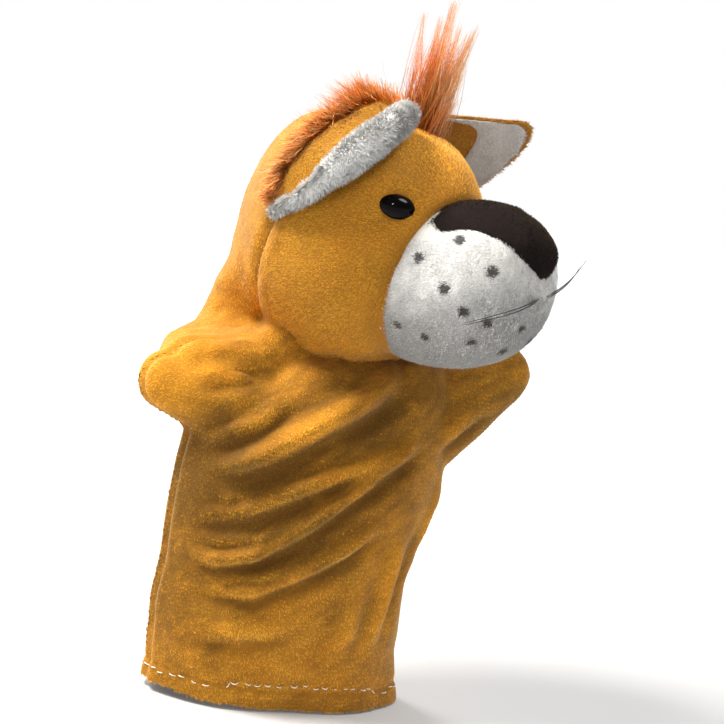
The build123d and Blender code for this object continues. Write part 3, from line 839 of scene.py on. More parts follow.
def cut_cloth(skin):
    """Splits the skin along the seams and joints, and returns each part's mesh data."""
    source = bmesh.new()
    source.from_mesh(skin.data)
    left_cut = unit(np.array([0.755, 0, 0.656]))
    seam_in_row = SEAM_NORMAL @ HEAD_AXES
    planes = [
        ((0, 0, 0), (0, 0, 1)),
        ((0, 0, 132), (0, 0, 1)),
        ((0, 0, 154), (0, 0, 1)),
        ((0, -2, 0), (0, 1, 0)),
        ((-56, 0, 0), (1, 0, 0)),
        (tuple(left_cut * 118), tuple(left_cut)),
        (tuple(HEAD - seam_in_row * SEAM_OFFSET), tuple(seam_in_row)),
    ]
    for place, direction in planes:
        bmesh.ops.bisect_plane(
            source,
            geom=source.verts[:] + source.edges[:] + source.faces[:],
            dist=1e-7,
            plane_co=[value * MM for value in place],
            plane_no=direction,
        )
    bmesh.ops.triangulate(source, faces=source.faces[:])
    mesh = bpy.data.meshes.new("cut")
    source.to_mesh(mesh)
    source.free()
    points, normals, triangles = mesh_arrays(mesh)
    middle = points[triangles].mean(1)
    local = row_to_head(middle)
    from_ball = np.linalg.norm(local, axis=1)
    x, y, z = middle.T

    def from_arm(pivot, direction):
        gap = middle - pivot
        return np.linalg.norm(gap - np.outer(gap @ direction, direction), axis=1)

    front = y < -2
    dropped = z < 0
    ahead = seam_distance(local) > 0
    dropped |= ahead & (from_ball < SKULL - 1.2) & (z > 139)
    dropped |= (from_ball < SKULL - 3.5) & (z > 132)
    right_arm = (x < -56) & (z > 98)
    left_arm = (middle @ left_cut > 118) & (x > 40) & (from_arm(LEFT_PIVOT, LEFT_REACH) < 23)
    left_root = (from_arm(LEFT_PIVOT, LEFT_REACH) < 20) & (x > 42) & ~left_arm
    neck = (z > 132) & (z < 154) & ~left_arm & ~left_root & ~right_arm
    upper = (z >= 154) & ~left_arm
    body = ~(neck | upper | right_arm | left_arm)
    groups = {
        "front_body_cloth": body & front,
        "back_body_cloth": body & ~front,
        "right_arm_front_cloth": right_arm & front,
        "right_arm_back_cloth": right_arm & ~front,
        "left_arm_front_cloth": left_arm & front,
        "left_arm_back_cloth": left_arm & ~front,
        "neck_cloth": neck,
        "back_head_cloth": upper,
    }
    parts = {}
    for name, chosen in groups.items():
        kept = triangles[chosen & ~dropped]
        used, index = np.unique(kept.ravel(), return_inverse=True)
        parts[name] = (uneven_hem(points[used]), normals[used], index.reshape(-1, 3))
    bpy.data.meshes.remove(mesh)
    return parts


def backing_piece(name, surface, material, thickness):
    """The cloth itself, with its thickness and sharp edges at its rims."""
    points, normals, triangles = surface
    piece = make_mesh(name, points, triangles)
    # The body's tone with its painted light and shade, stored for the backing's material.
    painted_light_shade = piece.data.attributes.new("painted_light_shade", "FLOAT", "POINT")
    painted_light_shade.data.foreach_set("value", body_tone_and_painted_light(points).astype(np.float32))
    thicken(piece, thickness)
    piece.data.set_sharp_from_angle(angle=math.radians(70))
    piece.data.materials.clear()
    piece.data.materials.append(material)
    return piece


CLOTH_BENDS = {
    "right_arm": ("root", "right_arm", (-56, 0, 117), (-70, 0, 118.2)),
    "left_arm": ("root", "left_arm", (52, 0, 120), (65.6, 0, 131.8)),
    "neck": ("root", "neck", (2, 6, 139), (2, 6, 154)),
    "back_head": ("neck", "head", (2, 6, 154), (2, 6, 174)),
}


def attach_cloth(piece, name):
    for start, (first, second, low, high) in CLOTH_BENDS.items():
        if name.startswith(start):
            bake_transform(piece)
            return
    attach(piece, "root")


def body_groom(spots, normals):
    """The nap lies down the body, drawn aside at random and out along the arms."""
    lie = np.tile(np.array([0.0, 0.0, -1.0]), (len(spots), 1))
    lie[:, 0] += 0.9 * lattice_noise(spots, 30, 21)
    lie[:, 0] -= 1.2 * smoothstep(-40, -60, spots[:, 0]) * smoothstep(95, 110, spots[:, 2])
    lie[:, 0] += 1.2 * smoothstep(50, 66, spots[:, 0]) * smoothstep(95, 110, spots[:, 2])
    return lie


def body_kept(spots):
    """The nap is parted along the row of hem stitches."""
    return np.abs(spots[:, 2] - 8.5) > 0.5


# Painted light and shade on the nap, patch by patch: middle, width and change. Painted shade on the chest under the
# head, the body's front and sides and the left arm; painted highlights on the right shoulder, the hood and the lower
# front.
PAINTED_LIGHT_PATCHES = [
    ((8, -26, 133), 16, -0.22),
    ((14, -28, 116), 24, -0.14),
    ((-47, -16, 106), 18, -0.40),
    ((-34, -25, 84), 22, -0.20),
    ((-18, -28, 66), 22, -0.20),
    ((6, -30, 84), 22, -0.12),
    ((-56, -6, 80), 20, -0.26),
    ((-56, -6, 44), 24, -0.20),
    ((-66, -4, 132), 22, 0.50),
    ((-46, 8, 160), 24, 0.14),
    ((-18, -28, 20), 24, 0.08),
    ((66, -12, 134), 24, -0.28),
]


def body_tone_and_painted_light(spots):
    """How much lighter or darker the nap is drawn: random streaks of tone, painted shade in the fold hollows and
    painted highlights on their ridges, and the painted light and shade of the patches.
    """
    streaks = spots @ np.array([[0.5, 0, 0.87], [0, 1, 0], [-0.87, 0, 0.5]])
    broken = lattice_noise(streaks * np.array([1, 1, 0.22]), 1.6, 32)
    total = 0.15 * broken + 0.10 * lattice_noise(spots, 9, 34)
    # Painted shade in the fold hollows, painted highlight on the fold ridges.
    total += 0.11 * np.clip(fold_heights(spots), -3, 3)
    for place, width, change in PAINTED_LIGHT_PATCHES:
        far = np.linalg.norm(spots - np.array(place, float), axis=1)
        total += change * np.exp(-((far / width) ** 2))
    return total


def body_rows_and_painted_light(spots):
    """The nap's tone with its painted light and shade, and the knitting rows that show through it."""
    rows = np.sin(2 * math.pi * (spots[:, 2] + 1.2 * lattice_noise(spots, 20, 31)) / 1.8)
    patch = smoothstep(-0.5, 0.3, lattice_noise(spots, 18, 33))
    return body_tone_and_painted_light(spots) + 0.17 * rows * patch


skin = build_cloth()
shape_cloth(skin)
cloth_parts = cut_cloth(skin)
bpy.data.objects.remove(skin)
CLOTH_STANDS_FOR = {
    "front_body_cloth": ["front_body_panel"],
    "back_body_cloth": ["back_body_panel"],
    "right_arm_front_cloth": ["right_arm_front_panel"],
    "right_arm_back_cloth": ["right_arm_back_panel"],
    "left_arm_front_cloth": ["left_arm_front_panel"],
    "left_arm_back_cloth": ["left_arm_back_panel"],
    "neck_cloth": ["neck_sleeve"],
    "back_head_cloth": ["back_head_panel"],
}
CLOTH_DENSITY = 3.4
cloth_pieces = {}
for number, (name, surface) in enumerate(cloth_parts.items()):
    cloth = backing_piece(name, surface, GOLD_BACKING, 1.2)
    attach_cloth(cloth, name)
    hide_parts(*CLOTH_STANDS_FOR[name])
    pile = grow_pile(
        name.replace("_cloth", "_pile"),
        surface,
        GOLD_PILE,
        density=CLOTH_DENSITY,
        length=1.45,
        width=0.38,
        lift=0.26,
        groom=body_groom,
        seed=40 + number,
        tone=body_rows_and_painted_light,
        keep=body_kept,
        spread=0.2,
    )
    attach_cloth(pile, name)
    cloth_pieces[name] = (cloth, pile)


# ------------------------------------------------------------------ the face
def head_piece(piece, material, slot, *stands_for):
    """Puts a piece on the head: its material, and the CAD nodes it stands for, which it hides. The slot is not used.
    """
    piece.data.materials.clear()
    piece.data.materials.append(material)
    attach(piece, "head")
    if stands_for:
        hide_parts(*stands_for)
    return piece


def surface_of(piece):
    return mesh_arrays(piece.data)


def bump_at(points, middle, size):
    """A soft bump of one around a middle, falling away over that size."""
    return np.exp(-(np.linalg.norm(points - np.asarray(middle), axis=-1) / size) ** 2)


EYE_PLACES = [np.array([33.0, side * 32.1, 18.3]) for side in (-1, 1)]


def face_radius(direction):
    """How far the face's cloth stands from the head's centre, for head directions."""
    spots = direction * SKULL
    radius = np.full(len(spots), SKULL)
    radius += 3.0 * bump_at(spots, (33, 0, 39), 20)
    radius += 1.6 * bump_at(spots, (24, -36, -18), 18) + 1.6 * bump_at(spots, (24, 36, -18), 18)
    from_axis = np.hypot(spots[:, 1], spots[:, 2] - MUZZLE_MIDDLE)
    ahead = spots[:, 0] > 0
    radius -= 1.6 * np.exp(-(((from_axis - MUZZLE_RADIUS + 0.4) / 1.8) ** 2)) * ahead
    for place in EYE_PLACES:
        radius -= 1.7 * bump_at(spots, place, 6.5)
        radius += 0.7 * bump_at(spots, place * 0.98 + np.array([-3.0, 0, 10.0]), 8)
    radius += 0.7 * lattice_noise(spots, 17, 51) + 0.25 * lattice_noise(spots, 7, 52)
    to_seam = seam_distance(spots)
    radius -= 1.5 * np.exp(-((to_seam / 1.5) ** 2))
    radius -= 1.9 * smoothstep(-1.0, -4.0, to_seam)
    pucker = lattice_noise(spots * np.array([1, 1, 0.3]), 6, 53)
    radius += 0.9 * pucker * smoothstep(-26, -42, spots[:, 2])
    return radius


def build_face():
    tilts = np.linspace(0.0, math.radians(133), 150)[1:]
    around = np.linspace(0, 2 * math.pi, 260, endpoint=False)
    rows = []
    for tilt in tilts:
        rows.append(
            np.column_stack(
                [
                    np.full(len(around), math.cos(tilt)),
                    math.sin(tilt) * np.cos(around),
                    math.sin(tilt) * np.sin(around),
                ]
            )
        )
    direction = np.concatenate(rows)
    points = head_to_row(direction * face_radius(direction)[:, None])
    faces = grid_faces(len(tilts), len(around))
    local = row_to_head(points)
    kept = []
    middle = local[np.array(faces)].mean(1)
    opening = np.hypot(middle[:, 1], middle[:, 2] - MUZZLE_MIDDLE)
    hidden = (opening < MUZZLE_RADIUS - 7) & (middle[:, 0] > 0)
    neck_hole = np.hypot(middle[:, 0], middle[:, 1]) < 20
    hidden |= neck_hole & (middle[:, 2] < 0)
    hidden |= seam_distance(middle) < -9
    for face, gone in zip(faces, hidden):
        if not gone:
            kept.append(face)
    used, index = np.unique(np.array(kept).ravel(), return_inverse=True)
    return make_mesh("face_cloth", points[used], index.reshape(-1, 4))


MUZZLE_PLACE = np.array([49.0, 0.0, MUZZLE_MIDDLE])
MUZZLE_CLOTH_RADIUS = MUZZLE_RADIUS - 1.5
MUZZLE_REACH = 34.8
MUZZLE_LIFT = 0.14


def lift_muzzle(points, sign=1):
    """Tips the muzzle up towards its front, or back down with a sign of -1."""
    lifted = np.array(points, float)
    lifted[:, 2] += sign * MUZZLE_LIFT * np.maximum(lifted[:, 0] - 40, 0)
    return lifted


def muzzle_reach(direction):
    """How far the muzzle's cloth stands from its middle, in a direction of the head."""
    power = 2.3
    across = np.hypot(direction[:, 1], direction[:, 2]) / MUZZLE_CLOTH_RADIUS
    ahead = np.maximum(direction[:, 0], 0) / MUZZLE_REACH
    total = (across**power + ahead**power) ** (1 / power)
    reach = 1 / np.maximum(total, 1e-6)
    spots = direction * reach[:, None]
    shift = 0.7 * lattice_noise(spots, 19, 61) + 0.25 * lattice_noise(spots, 7, 62)
    shift += 0.8 * bump_at(spots, (20, -26, -6), 16) + 0.8 * bump_at(spots, (20, 26, -6), 16)
    shift -= 0.8 * bump_at(spots, (33, 0, -14), 9)
    return reach + shift


def muzzle_point(direction):
    direction = unit(direction)
    return lift_muzzle(MUZZLE_PLACE + direction * muzzle_reach(direction)[:, None])


def build_muzzle():
    around = np.linspace(0, 2 * math.pi, 220, endpoint=False)
    rings = []
    for tilt in np.linspace(0.01, math.radians(90), 90):
        direction = np.column_stack(
            [
                np.full(len(around), math.cos(tilt)),
                math.sin(tilt) * np.cos(around),
                math.sin(tilt) * np.sin(around),
            ]
        )
        rings.append(muzzle_point(direction))
    edge = rings[-1]
    for step, back in enumerate(np.linspace(1.5, 17, 12)):
        ring = edge.copy()
        ring[:, 0] = edge[:, 0] - back
        outward = unit(ring - np.array([1, 0, 0]) * ring[:, :1] - [0, 0, MUZZLE_MIDDLE])
        from_centre = np.linalg.norm(ring, axis=1)
        near_face = np.exp(-(((from_centre - SKULL - 0.5) / 1.6) ** 2))
        ring = ring + outward * (0.8 * smoothstep(50, 42, ring[:, 0]))[:, None]
        inside = smoothstep(SKULL + 1, SKULL - 4, from_centre)
        ring = ring - outward * (0.3 * near_face + 2.0 * inside)[:, None]
        rings.append(ring)
    points = head_to_row(np.concatenate(rings))
    faces = grid_faces(len(rings), len(around))
    faces.append(tuple(range(len(around)))[::-1])
    return make_mesh("muzzle_cloth", points, faces)


# Spots of the muzzle: forward, right and up from its middle, and each one's radius.
MUZZLE_SPOTS = [
    (9.9, 25.1, 20.1, 2.2),
    (-3.2, 29.9, 10.8, 2.1),
    (24.4, 23.1, 11.8, 2.4),
    (10.7, 30.4, 2.4, 2.2),
    (18.5, 26.7, -4.4, 2.2),
    (25.3, 20.7, -6.4, 2.0),
    (-7.5, 26.8, -16.2, 1.7),
    (3.5, 24.6, -17.7, 1.9),
    (20.0, 19.1, -15.2, 1.9),
    (32.2, 5.3, -7.3, 2.0),
    (26.2, 4.5, -17.4, 1.9),
    (29.5, -9.0, -13.0, 2.0),
    (24.4, -23.1, 11.8, 2.3),
    (10.7, -30.4, 3.0, 2.2),
    (19.0, -26.5, -5.0, 2.1),
    (-2.0, -30.0, 10.0, 2.1),
    (4.0, -25.0, -17.0, 2.0),
    (18.0, -21.0, -15.5, 2.0),
    (-6.0, -27.5, -14.5, 1.8),
]
SPOT_AIMS = lift_muzzle(MUZZLE_PLACE + [(f, -r, u) for f, r, u, _ in MUZZLE_SPOTS], -1)
SPOT_PLACES = muzzle_point(SPOT_AIMS - MUZZLE_PLACE)
SPOT_SIZES = np.array([spot[3] for spot in MUZZLE_SPOTS])


def spot_share(points, soft):
    """How much each point belongs to a dark spot, with that softness at its edge."""
    local = row_to_head(points)
    share = np.zeros(len(local))
    for place, size in zip(SPOT_PLACES, SPOT_SIZES):
        distance = np.linalg.norm(local - place, axis=1)
        share = np.maximum(share, smoothstep(size + soft, size - soft, distance))
    return share


def spot_strands(points, rng):
    jitter = points + rng.normal(size=points.shape) * 0.28
    return (spot_share(jitter, 0.25) > 0.5).astype(float) * 0.93


# Edges of the nose patch across the head, by angle over the muzzle from its tip.
NOSE_ANGLES = [8, 12, 17, 24, 32, 42, 60, 84, 104, 114]
NOSE_RIGHT = [-4.0, -7.0, -11.0, -14.8, -17.6, -20.0, -23.4, -27.0, -28.6, -28.6]
NOSE_LEFT = [-2.0, 1.0, 5.0, 10.0, 13.8, 17.0, 21.2, 25.0, 26.6, 26.6]


def nose_edges(angle):
    return (
        np.interp(angle, NOSE_ANGLES, NOSE_RIGHT),
        np.interp(angle, NOSE_ANGLES, NOSE_LEFT),
    )


def build_nose():
    """The dark patch over the top of the muzzle, thin at its sewn edge."""
    angles = np.linspace(NOSE_ANGLES[0], NOSE_ANGLES[-1], 70)
    shares = np.linspace(-1, 1, 61)
    points = []
    for angle in angles:
        right, left = nose_edges(angle)
        across = (left + right) / 2 + shares * (left - right) / 2
        slope = np.arcsin(np.clip(across / (MUZZLE_RADIUS + 1), -0.95, 0.95))
        turn = math.radians(angle)
        direction = np.column_stack(
            [
                math.cos(turn) * np.cos(slope),
                np.sin(slope),
                math.sin(turn) * np.cos(slope),
            ]
        )
        ends = (angle - angles[0]) / (angles[-1] - angles[0])
        rim = np.maximum(np.abs(shares), abs(2 * ends - 1))
        height = 3.2 * (1 - np.clip(rim, 0, 1) ** 3.5) - 0.5
        points.append(muzzle_point(direction) + unit(direction) * height[:, None])
    points = np.array(points)
    points += 0.3 * lattice_noise(points.reshape(-1, 3), 6, 71).reshape(70, 61, 1)
    return make_mesh(
        "nose_cloth", head_to_row(points.reshape(-1, 3)), grid_faces(70, 61, wrap=False)
    )


face = face_outwards(build_face(), HEAD)
FACE_SURFACE = surface_of(face)
thicken(face, 1.1)
head_piece(face, GOLD_BACKING, "gold_velboa", "face_panel")
muzzle = face_outwards(build_muzzle(), head_to_row(MUZZLE_PLACE))
MUZZLE_SURFACE = surface_of(muzzle)
for vertex_share in (muzzle.data.attributes.new("spot", "FLOAT", "POINT"),):
    vertex_share.data.foreach_set(
        "value", spot_share(MUZZLE_SURFACE[0], 0.5).astype(np.float32) * 0.9
    )
thicken(muzzle, 1.2)
head_piece(muzzle, WHITE_BACKING, "white_plush", "muzzle_cover")
nose = face_outwards(build_nose(), head_to_row(MUZZLE_PLACE))
NOSE_SURFACE = surface_of(nose)
thicken(nose, 1.4)
head_piece(nose, DARK_BACKING, "dark_plush", "nose_patch")


def face_groom(spots, normals):
    """The face's nap lies back from the muzzle and down."""
    local = row_to_head(spots)
    away = local - np.array([62.0, 0, 6.0])
    lie = unit(away) @ HEAD_AXES
    lie[:, 2] -= 0.35
    return lie + 0.25 * np.column_stack([lattice_noise(spots, 14, 81 + k) for k in range(3)])


def muzzle_groom(spots, normals):
    local = row_to_head(spots)
    away = local - np.array([100.0, 0, 20.0])
    lie = unit(away) @ HEAD_AXES
    return lie + 0.5 * np.column_stack([lattice_noise(spots, 9, 84 + k) for k in range(3)])


def face_kept(spots):
    """Pile grows on the face outside the muzzle and the hood, and not under the eyes."""
    local = row_to_head(spots)
    from_axis = np.hypot(local[:, 1], local[:, 2] - MUZZLE_MIDDLE)
    kept = (from_axis > MUZZLE_RADIUS - 1.0) | (local[:, 0] < 0)
    kept &= seam_distance(local) > -2.5
    for place in EYE_PLACES:
        kept &= np.linalg.norm(local - place, axis=1) > 6.2
    return kept


def nose_cover(local):
    """Whether points of the muzzle lie under the nose patch."""
    gap = lift_muzzle(local, -1) - MUZZLE_PLACE
    angle = np.degrees(np.arctan2(gap[:, 2], gap[:, 0]))
    right, left = nose_edges(angle)
    inside = (gap[:, 1] > right + 0.8) & (gap[:, 1] < left - 0.8)
    return inside & (angle > NOSE_ANGLES[0] + 2)


def muzzle_kept(spots):
    local = row_to_head(spots)
    return (np.linalg.norm(local, axis=1) > SKULL - 0.2) & ~nose_cover(local)


def face_rows_and_painted_highlight(spots):
    # Random tone and knitting rows, with a painted highlight on the brow.
    local = row_to_head(spots)
    painted_brow_highlight = np.exp(-((np.linalg.norm(local - [34, 4, 38], axis=1) / 22) ** 2))
    knit = np.sin(2 * math.pi * (local[:, 2] + 0.3 * local[:, 0]) / 1.7)
    return 0.09 * lattice_noise(spots, 2.2, 86) + 0.05 * knit + 0.6 * painted_brow_highlight + 0.02


def muzzle_painted_shade(spots):
    """Painted shade: the white nap is drawn greyer below and at the lower front, with random tone over it."""
    local = row_to_head(spots)
    below = smoothstep(-4, -36, local[:, 2])
    front = smoothstep(62, 84, local[:, 0]) * smoothstep(6, -16, local[:, 2])
    return -0.44 * below - 0.32 * front + 0.10 * lattice_noise(spots, 3.0, 87) - 0.05


face_pile = head_piece(
    grow_pile("face_pile", FACE_SURFACE, GOLD_PILE, 4.4, 1.5, 0.3, 0.34, face_groom, 60,
              tone=face_rows_and_painted_highlight, keep=face_kept, spread=0.22),
    GOLD_PILE, "gold_velboa",
)
muzzle_pile = head_piece(
    grow_pile("muzzle_pile", MUZZLE_SURFACE, WHITE_PILE, 9.0, 1.8, 0.24, 0.5, muzzle_groom, 61,
              tone=muzzle_painted_shade, spot=spot_strands, keep=muzzle_kept, spread=0.5),
    WHITE_PILE, "white_plush",
)
nose_pile = head_piece(
    grow_pile("nose_pile", NOSE_SURFACE, DARK_PILE, 9.0, 1.3, 0.3, 0.6, muzzle_groom, 62,
              spread=0.6),
    DARK_PILE, "dark_plush",
)


# ------------------------------------------------------------------ eyes
def build_eye(name, place):
    """A glossy oval dome, longer across the face than it is high, on its flat back."""
    outward = unit(place)
    across = unit(np.cross(np.array([0, 0, 1.0]), outward))
    over = np.cross(outward, across)
    half_long = 7.6
    half_high = 5.2
    dome = 4.4
    seat = place - outward * 2.2
    around = np.linspace(0, 2 * math.pi, 64, endpoint=False)
    rings = []
    for depth in (-1.6, -0.6):
        rings.append((depth, 0.97))
    for turn in np.linspace(0, math.pi / 2 - 0.03, 26):
        rings.append((dome * math.sin(turn), math.cos(turn) ** 0.9))
    points = []
    for depth, size in rings:
        points.append(
            seat
            + outward * depth
            + np.outer(np.cos(around), across) * half_long * size
            + np.outer(np.sin(around), over) * half_high * size
        )
    points, faces = ring_stack(points)
    return make_mesh(name, head_to_row(points), faces)


for side_name, place in zip(("right", "left"), EYE_PLACES):
    head_piece(
        build_eye(side_name + "_glass_eye", place), BLACK_GLASSY, "black_eye", side_name + "_eye"
    )


# ------------------------------------------------------------------ ears
def ear_line(shares, places, count):
    """A smooth line through an ear's given points, sampled evenly."""
    shares = np.asarray(shares, float)
    places = np.asarray(places, float)
    even = np.linspace(0, 1, count)
    line = np.column_stack([np.interp(even, shares, places[:, k]) for k in range(3)])
    for turn in range(count // 10):
        middle = (line[:-2] + 2 * line[1:-1] + line[2:]) / 4
        line = np.concatenate([line[:1], middle, line[-1:]])
    return line


EAR_STEPS = 110
EAR_DEPTH = 30
EAR_TOP = math.radians(8)
EAR_LOW = math.radians(84)

FOLDED_RIDGE = ear_line(
    [0, 0.15, 0.35, 0.5, 0.65, 0.8, 1],
    [(4, -9, 55), (8, -21, 55), (9, -33.5, 50.5), (6, -43.5, 43.5), (1.5, -50.5, 34.5),
     (-4, -53, 24), (-9.3, -51.5, 10.6)],
    EAR_STEPS,
)
FOLDED_EDGE = ear_line(
    [0, 0.12, 0.25, 0.38, 0.5, 0.6, 0.7, 0.8, 0.88, 0.95, 1],
    [(18, -15.5, 53.5), (22.6, -26.5, 49.5), (23.7, -34.7, 44.9), (23.1, -40.6, 40.8),
     (20.9, -46.2, 35.7), (18.6, -50.1, 30.4), (13.9, -53, 24.4), (10.3, -53.8, 19.2),
     (5.3, -54, 14.1), (-2.8, -53, 9.9), (-9, -50.5, 6)],
    EAR_STEPS,
)
FOLDED_ROLL = np.interp(
    np.linspace(0, 1, EAR_STEPS),
    [0, 0.06, 0.2, 0.4, 0.55, 0.65, 0.75, 0.85, 0.95, 1],
    [3.6, 4.6, 5.4, 5.7, 5.5, 4.8, 3.6, 2.6, 2.2, 1.6],
)
OPEN_EDGE = ear_line(
    [0, 0.1, 0.25, 0.38, 0.5, 0.62, 0.75, 0.86, 0.94, 1],
    [(4.4, 7, 49.3), (14, 20, 55.5), (30.9, 34.4, 58.4), (38, 41, 60), (39.4, 47, 57.5),
     (35.6, 51.6, 50.2), (29, 54.4, 42.6), (20.6, 55.2, 34.2), (6, 54, 20), (-8.2, 48.7, 7.8)],
    EAR_STEPS,
)


def ear_base(side):
    return np.array(
        [seam_point(angle, side, SKULL) for angle in np.linspace(EAR_TOP, EAR_LOW, EAR_STEPS)]
    )


def sweep(first, control, last, low=0.0, high=1.0, steps=EAR_DEPTH):
    """Rows of points along curves from one line to another, pulled towards a control."""
    share = np.linspace(low, high, steps)[:, None, None]
    return first * (1 - share) ** 2 + control * 2 * share * (1 - share) + last * share**2


def build_folded_ear():
    """The right ear: it arches forward off the seam and its edge rolls over."""
    base = ear_base(-1)
    ridge = FOLDED_RIDGE
    edge = FOLDED_EDGE
    control = (ridge - 0.3025 * base - 0.2025 * edge) / 0.495
    rows = sweep(base, control, edge)
    wobble = 0.5 * lattice_noise(rows.reshape(-1, 3), 8, 91).reshape(EAR_DEPTH, EAR_STEPS, 1)
    rows = rows + wobble * unit(rows)
    outer = rows.reshape(-1, 3)
    inner = (rows - unit(rows) * 1.7).reshape(-1, 3)
    faces = grid_faces(EAR_DEPTH, EAR_STEPS, wrap=False)
    forward = unit(np.gradient(edge, axis=0))
    radial = unit(edge)
    beside = unit(np.cross(forward, radial))
    around = np.linspace(0, 2 * math.pi, 30, endpoint=False)
    rings = []
    for step in range(EAR_STEPS):
        size = FOLDED_ROLL[step]
        rings.append(
            edge[step]
            + np.outer(np.cos(around), beside[step]) * size
            + np.outer(np.sin(around), radial[step]) * size * 0.86
        )
    roll_points, roll_faces = ring_stack(rings)
    roll_points = roll_points + 0.7 * (
        lattice_noise(roll_points, 6, 92)[:, None] * unit(roll_points - np.repeat(edge, 30, 0))
    )
    return outer, inner, faces, roll_points, roll_faces


def build_open_ear():
    """The left ear: a shallow cup that opens forward."""
    base = ear_base(1)
    edge = OPEN_EDGE
    middle = (base + edge) / 2
    across = unit(edge - base + 1e-6)
    along = unit(np.gradient(middle, axis=0))
    behind = unit(np.cross(across, along))
    behind *= -np.sign(behind[:, :1])
    control = middle + behind * 7.0
    outer = sweep(base, control, edge)
    outer = outer + 0.4 * lattice_noise(outer.reshape(-1, 3), 9, 93).reshape(
        EAR_DEPTH, EAR_STEPS, 1
    )
    return outer, behind


outer, inner, faces, roll_points, roll_faces = build_folded_ear()
right_ear = make_mesh("right_ear_cloth", head_to_row(outer), faces)
RIGHT_EAR_SURFACE = surface_of(right_ear)
inward = row_to_head(RIGHT_EAR_SURFACE[0]) * 0 + unit(row_to_head(RIGHT_EAR_SURFACE[0]))
if (RIGHT_EAR_SURFACE[1] * (inward @ HEAD_AXES)).sum() < 0:
    right_ear.data.flip_normals()
    RIGHT_EAR_SURFACE = surface_of(right_ear)
thicken(right_ear, 1.2)
head_piece(right_ear, GOLD_BACKING, "gold_velboa", "right_ear_outer")

lining_count = len(inner)
lining_points = np.concatenate([inner, roll_points])
lining_faces = [tuple(face)[::-1] for face in faces] + [
    tuple(corner + lining_count for corner in face) for face in roll_faces
]
right_lining = make_mesh("right_ear_lining_cloth", head_to_row(lining_points), lining_faces)
roll_piece = make_mesh("roll_for_pile", head_to_row(roll_points), roll_faces)
ROLL_SURFACE = surface_of(roll_piece)
middle_of_roll = head_to_row(np.repeat(FOLDED_EDGE, 30, 0))
if ((ROLL_SURFACE[0] - middle_of_roll) * ROLL_SURFACE[1]).sum() < 0:
    ROLL_SURFACE = (ROLL_SURFACE[0], -ROLL_SURFACE[1], ROLL_SURFACE[2])
bpy.data.objects.remove(roll_piece)
head_piece(right_lining, WHITE_BACKING, "white_plush", "right_ear_lining")

open_rows, open_behind = build_open_ear()
left_ear = make_mesh(
    "left_ear_cloth",
    head_to_row(open_rows.reshape(-1, 3)),
    grid_faces(EAR_DEPTH, EAR_STEPS, wrap=False),
)
LEFT_EAR_SURFACE = surface_of(left_ear)
facing_back = np.tile(open_behind, (EAR_DEPTH, 1)) @ HEAD_AXES
if (LEFT_EAR_SURFACE[1] * facing_back).sum() < 0:
    left_ear.data.flip_normals()
    LEFT_EAR_SURFACE = surface_of(left_ear)
thicken(left_ear, 1.6)
head_piece(left_ear, GOLD_BACKING, "gold_velboa", "left_ear_outer")

LINING_START = np.interp(
    np.linspace(0, 1, EAR_STEPS), [0, 0.25, 0.45, 0.7, 1], [0.62, 0.6, 0.5, 0.3, 0.2]
)


def build_open_lining():
    """The white lining of the open ear, set in from the gold edge."""
    base = ear_base(1)
    edge = OPEN_EDGE
    middle = (base + edge) / 2
    control = middle + open_behind * 7.0
    rows = []
    for depth in np.linspace(0, 1, EAR_DEPTH):
        share = (LINING_START + (0.935 - LINING_START) * depth)[:, None]
        row = base * (1 - share) ** 2 + control * 2 * share * (1 - share) + edge * share**2
        rows.append(row - open_behind * (2.4 - 0.6 * abs(2 * depth - 1) ** 6))
    return np.array(rows)


open_lining = build_open_lining()
left_lining = make_mesh(
    "left_ear_lining_cloth",
    head_to_row(open_lining.reshape(-1, 3)),
    grid_faces(EAR_DEPTH, EAR_STEPS, wrap=False),
)
LEFT_LINING_SURFACE = surface_of(left_lining)
if (LEFT_LINING_SURFACE[1] * facing_back).sum() > 0:
    left_lining.data.flip_normals()
    LEFT_LINING_SURFACE = surface_of(left_lining)
thicken(left_lining, 1.0)
head_piece(left_lining, WHITE_BACKING, "white_plush", "left_ear_lining")


def ear_groom(spots, normals):
    """Nap on an ear runs from the seam to the free edge."""
    local = row_to_head(spots)
    lie = np.column_stack(
        [np.full(len(local), 0.8), np.sign(local[:, 1]) * 0.5, -0.2 * np.ones(len(local))]
    )
    return lie @ HEAD_AXES + 0.3 * np.column_stack(
        [lattice_noise(spots, 6, 94 + k) for k in range(3)]
    )


def roll_groom(spots, normals):
    """The white roll's nap stands across it, ruffled."""
    local = row_to_head(spots)
    lie = np.column_stack([0.7 * np.ones(len(local)), -0.5 * np.ones(len(local)), -0.6 * np.ones(len(local))])
    return lie @ HEAD_AXES + 0.8 * np.column_stack(
        [lattice_noise(spots, 4, 97 + k) for k in range(3)]
    )


EAR_PILES = [
    ("right_ear_pile", RIGHT_EAR_SURFACE, GOLD_PILE, "gold_velboa", 5.2, 1.7, 0.36, 0.36, ear_groom),
    ("left_ear_pile", LEFT_EAR_SURFACE, GOLD_PILE, "gold_velboa", 5.2, 1.7, 0.36, 0.36, ear_groom),
    ("right_ear_lining_pile", ROLL_SURFACE, WHITE_PILE, "white_plush", 11.0, 2.6, 0.3, 0.75, roll_groom),
    ("left_ear_lining_pile", LEFT_LINING_SURFACE, WHITE_PILE, "white_plush", 8.0, 1.6, 0.3, 0.4, ear_groom),
]
for number, row in enumerate(EAR_PILES):
    name, surface, material, finish, density, length, width, lift, groom = row
    values = {}
    if material is WHITE_PILE:
        values["spot"] = lambda spots, rng: np.zeros(len(spots))
        values["tone"] = lambda spots: 0.12 * lattice_noise(spots, 5, 88) - 0.04
    pile = grow_pile(name, surface, material, density, length, width, lift, groom, 70 + number,
                     spread=0.5, **values)
    head_piece(pile, material, finish)


# ------------------------------------------------------------------ mane
rng = np.random.default_rng(5)
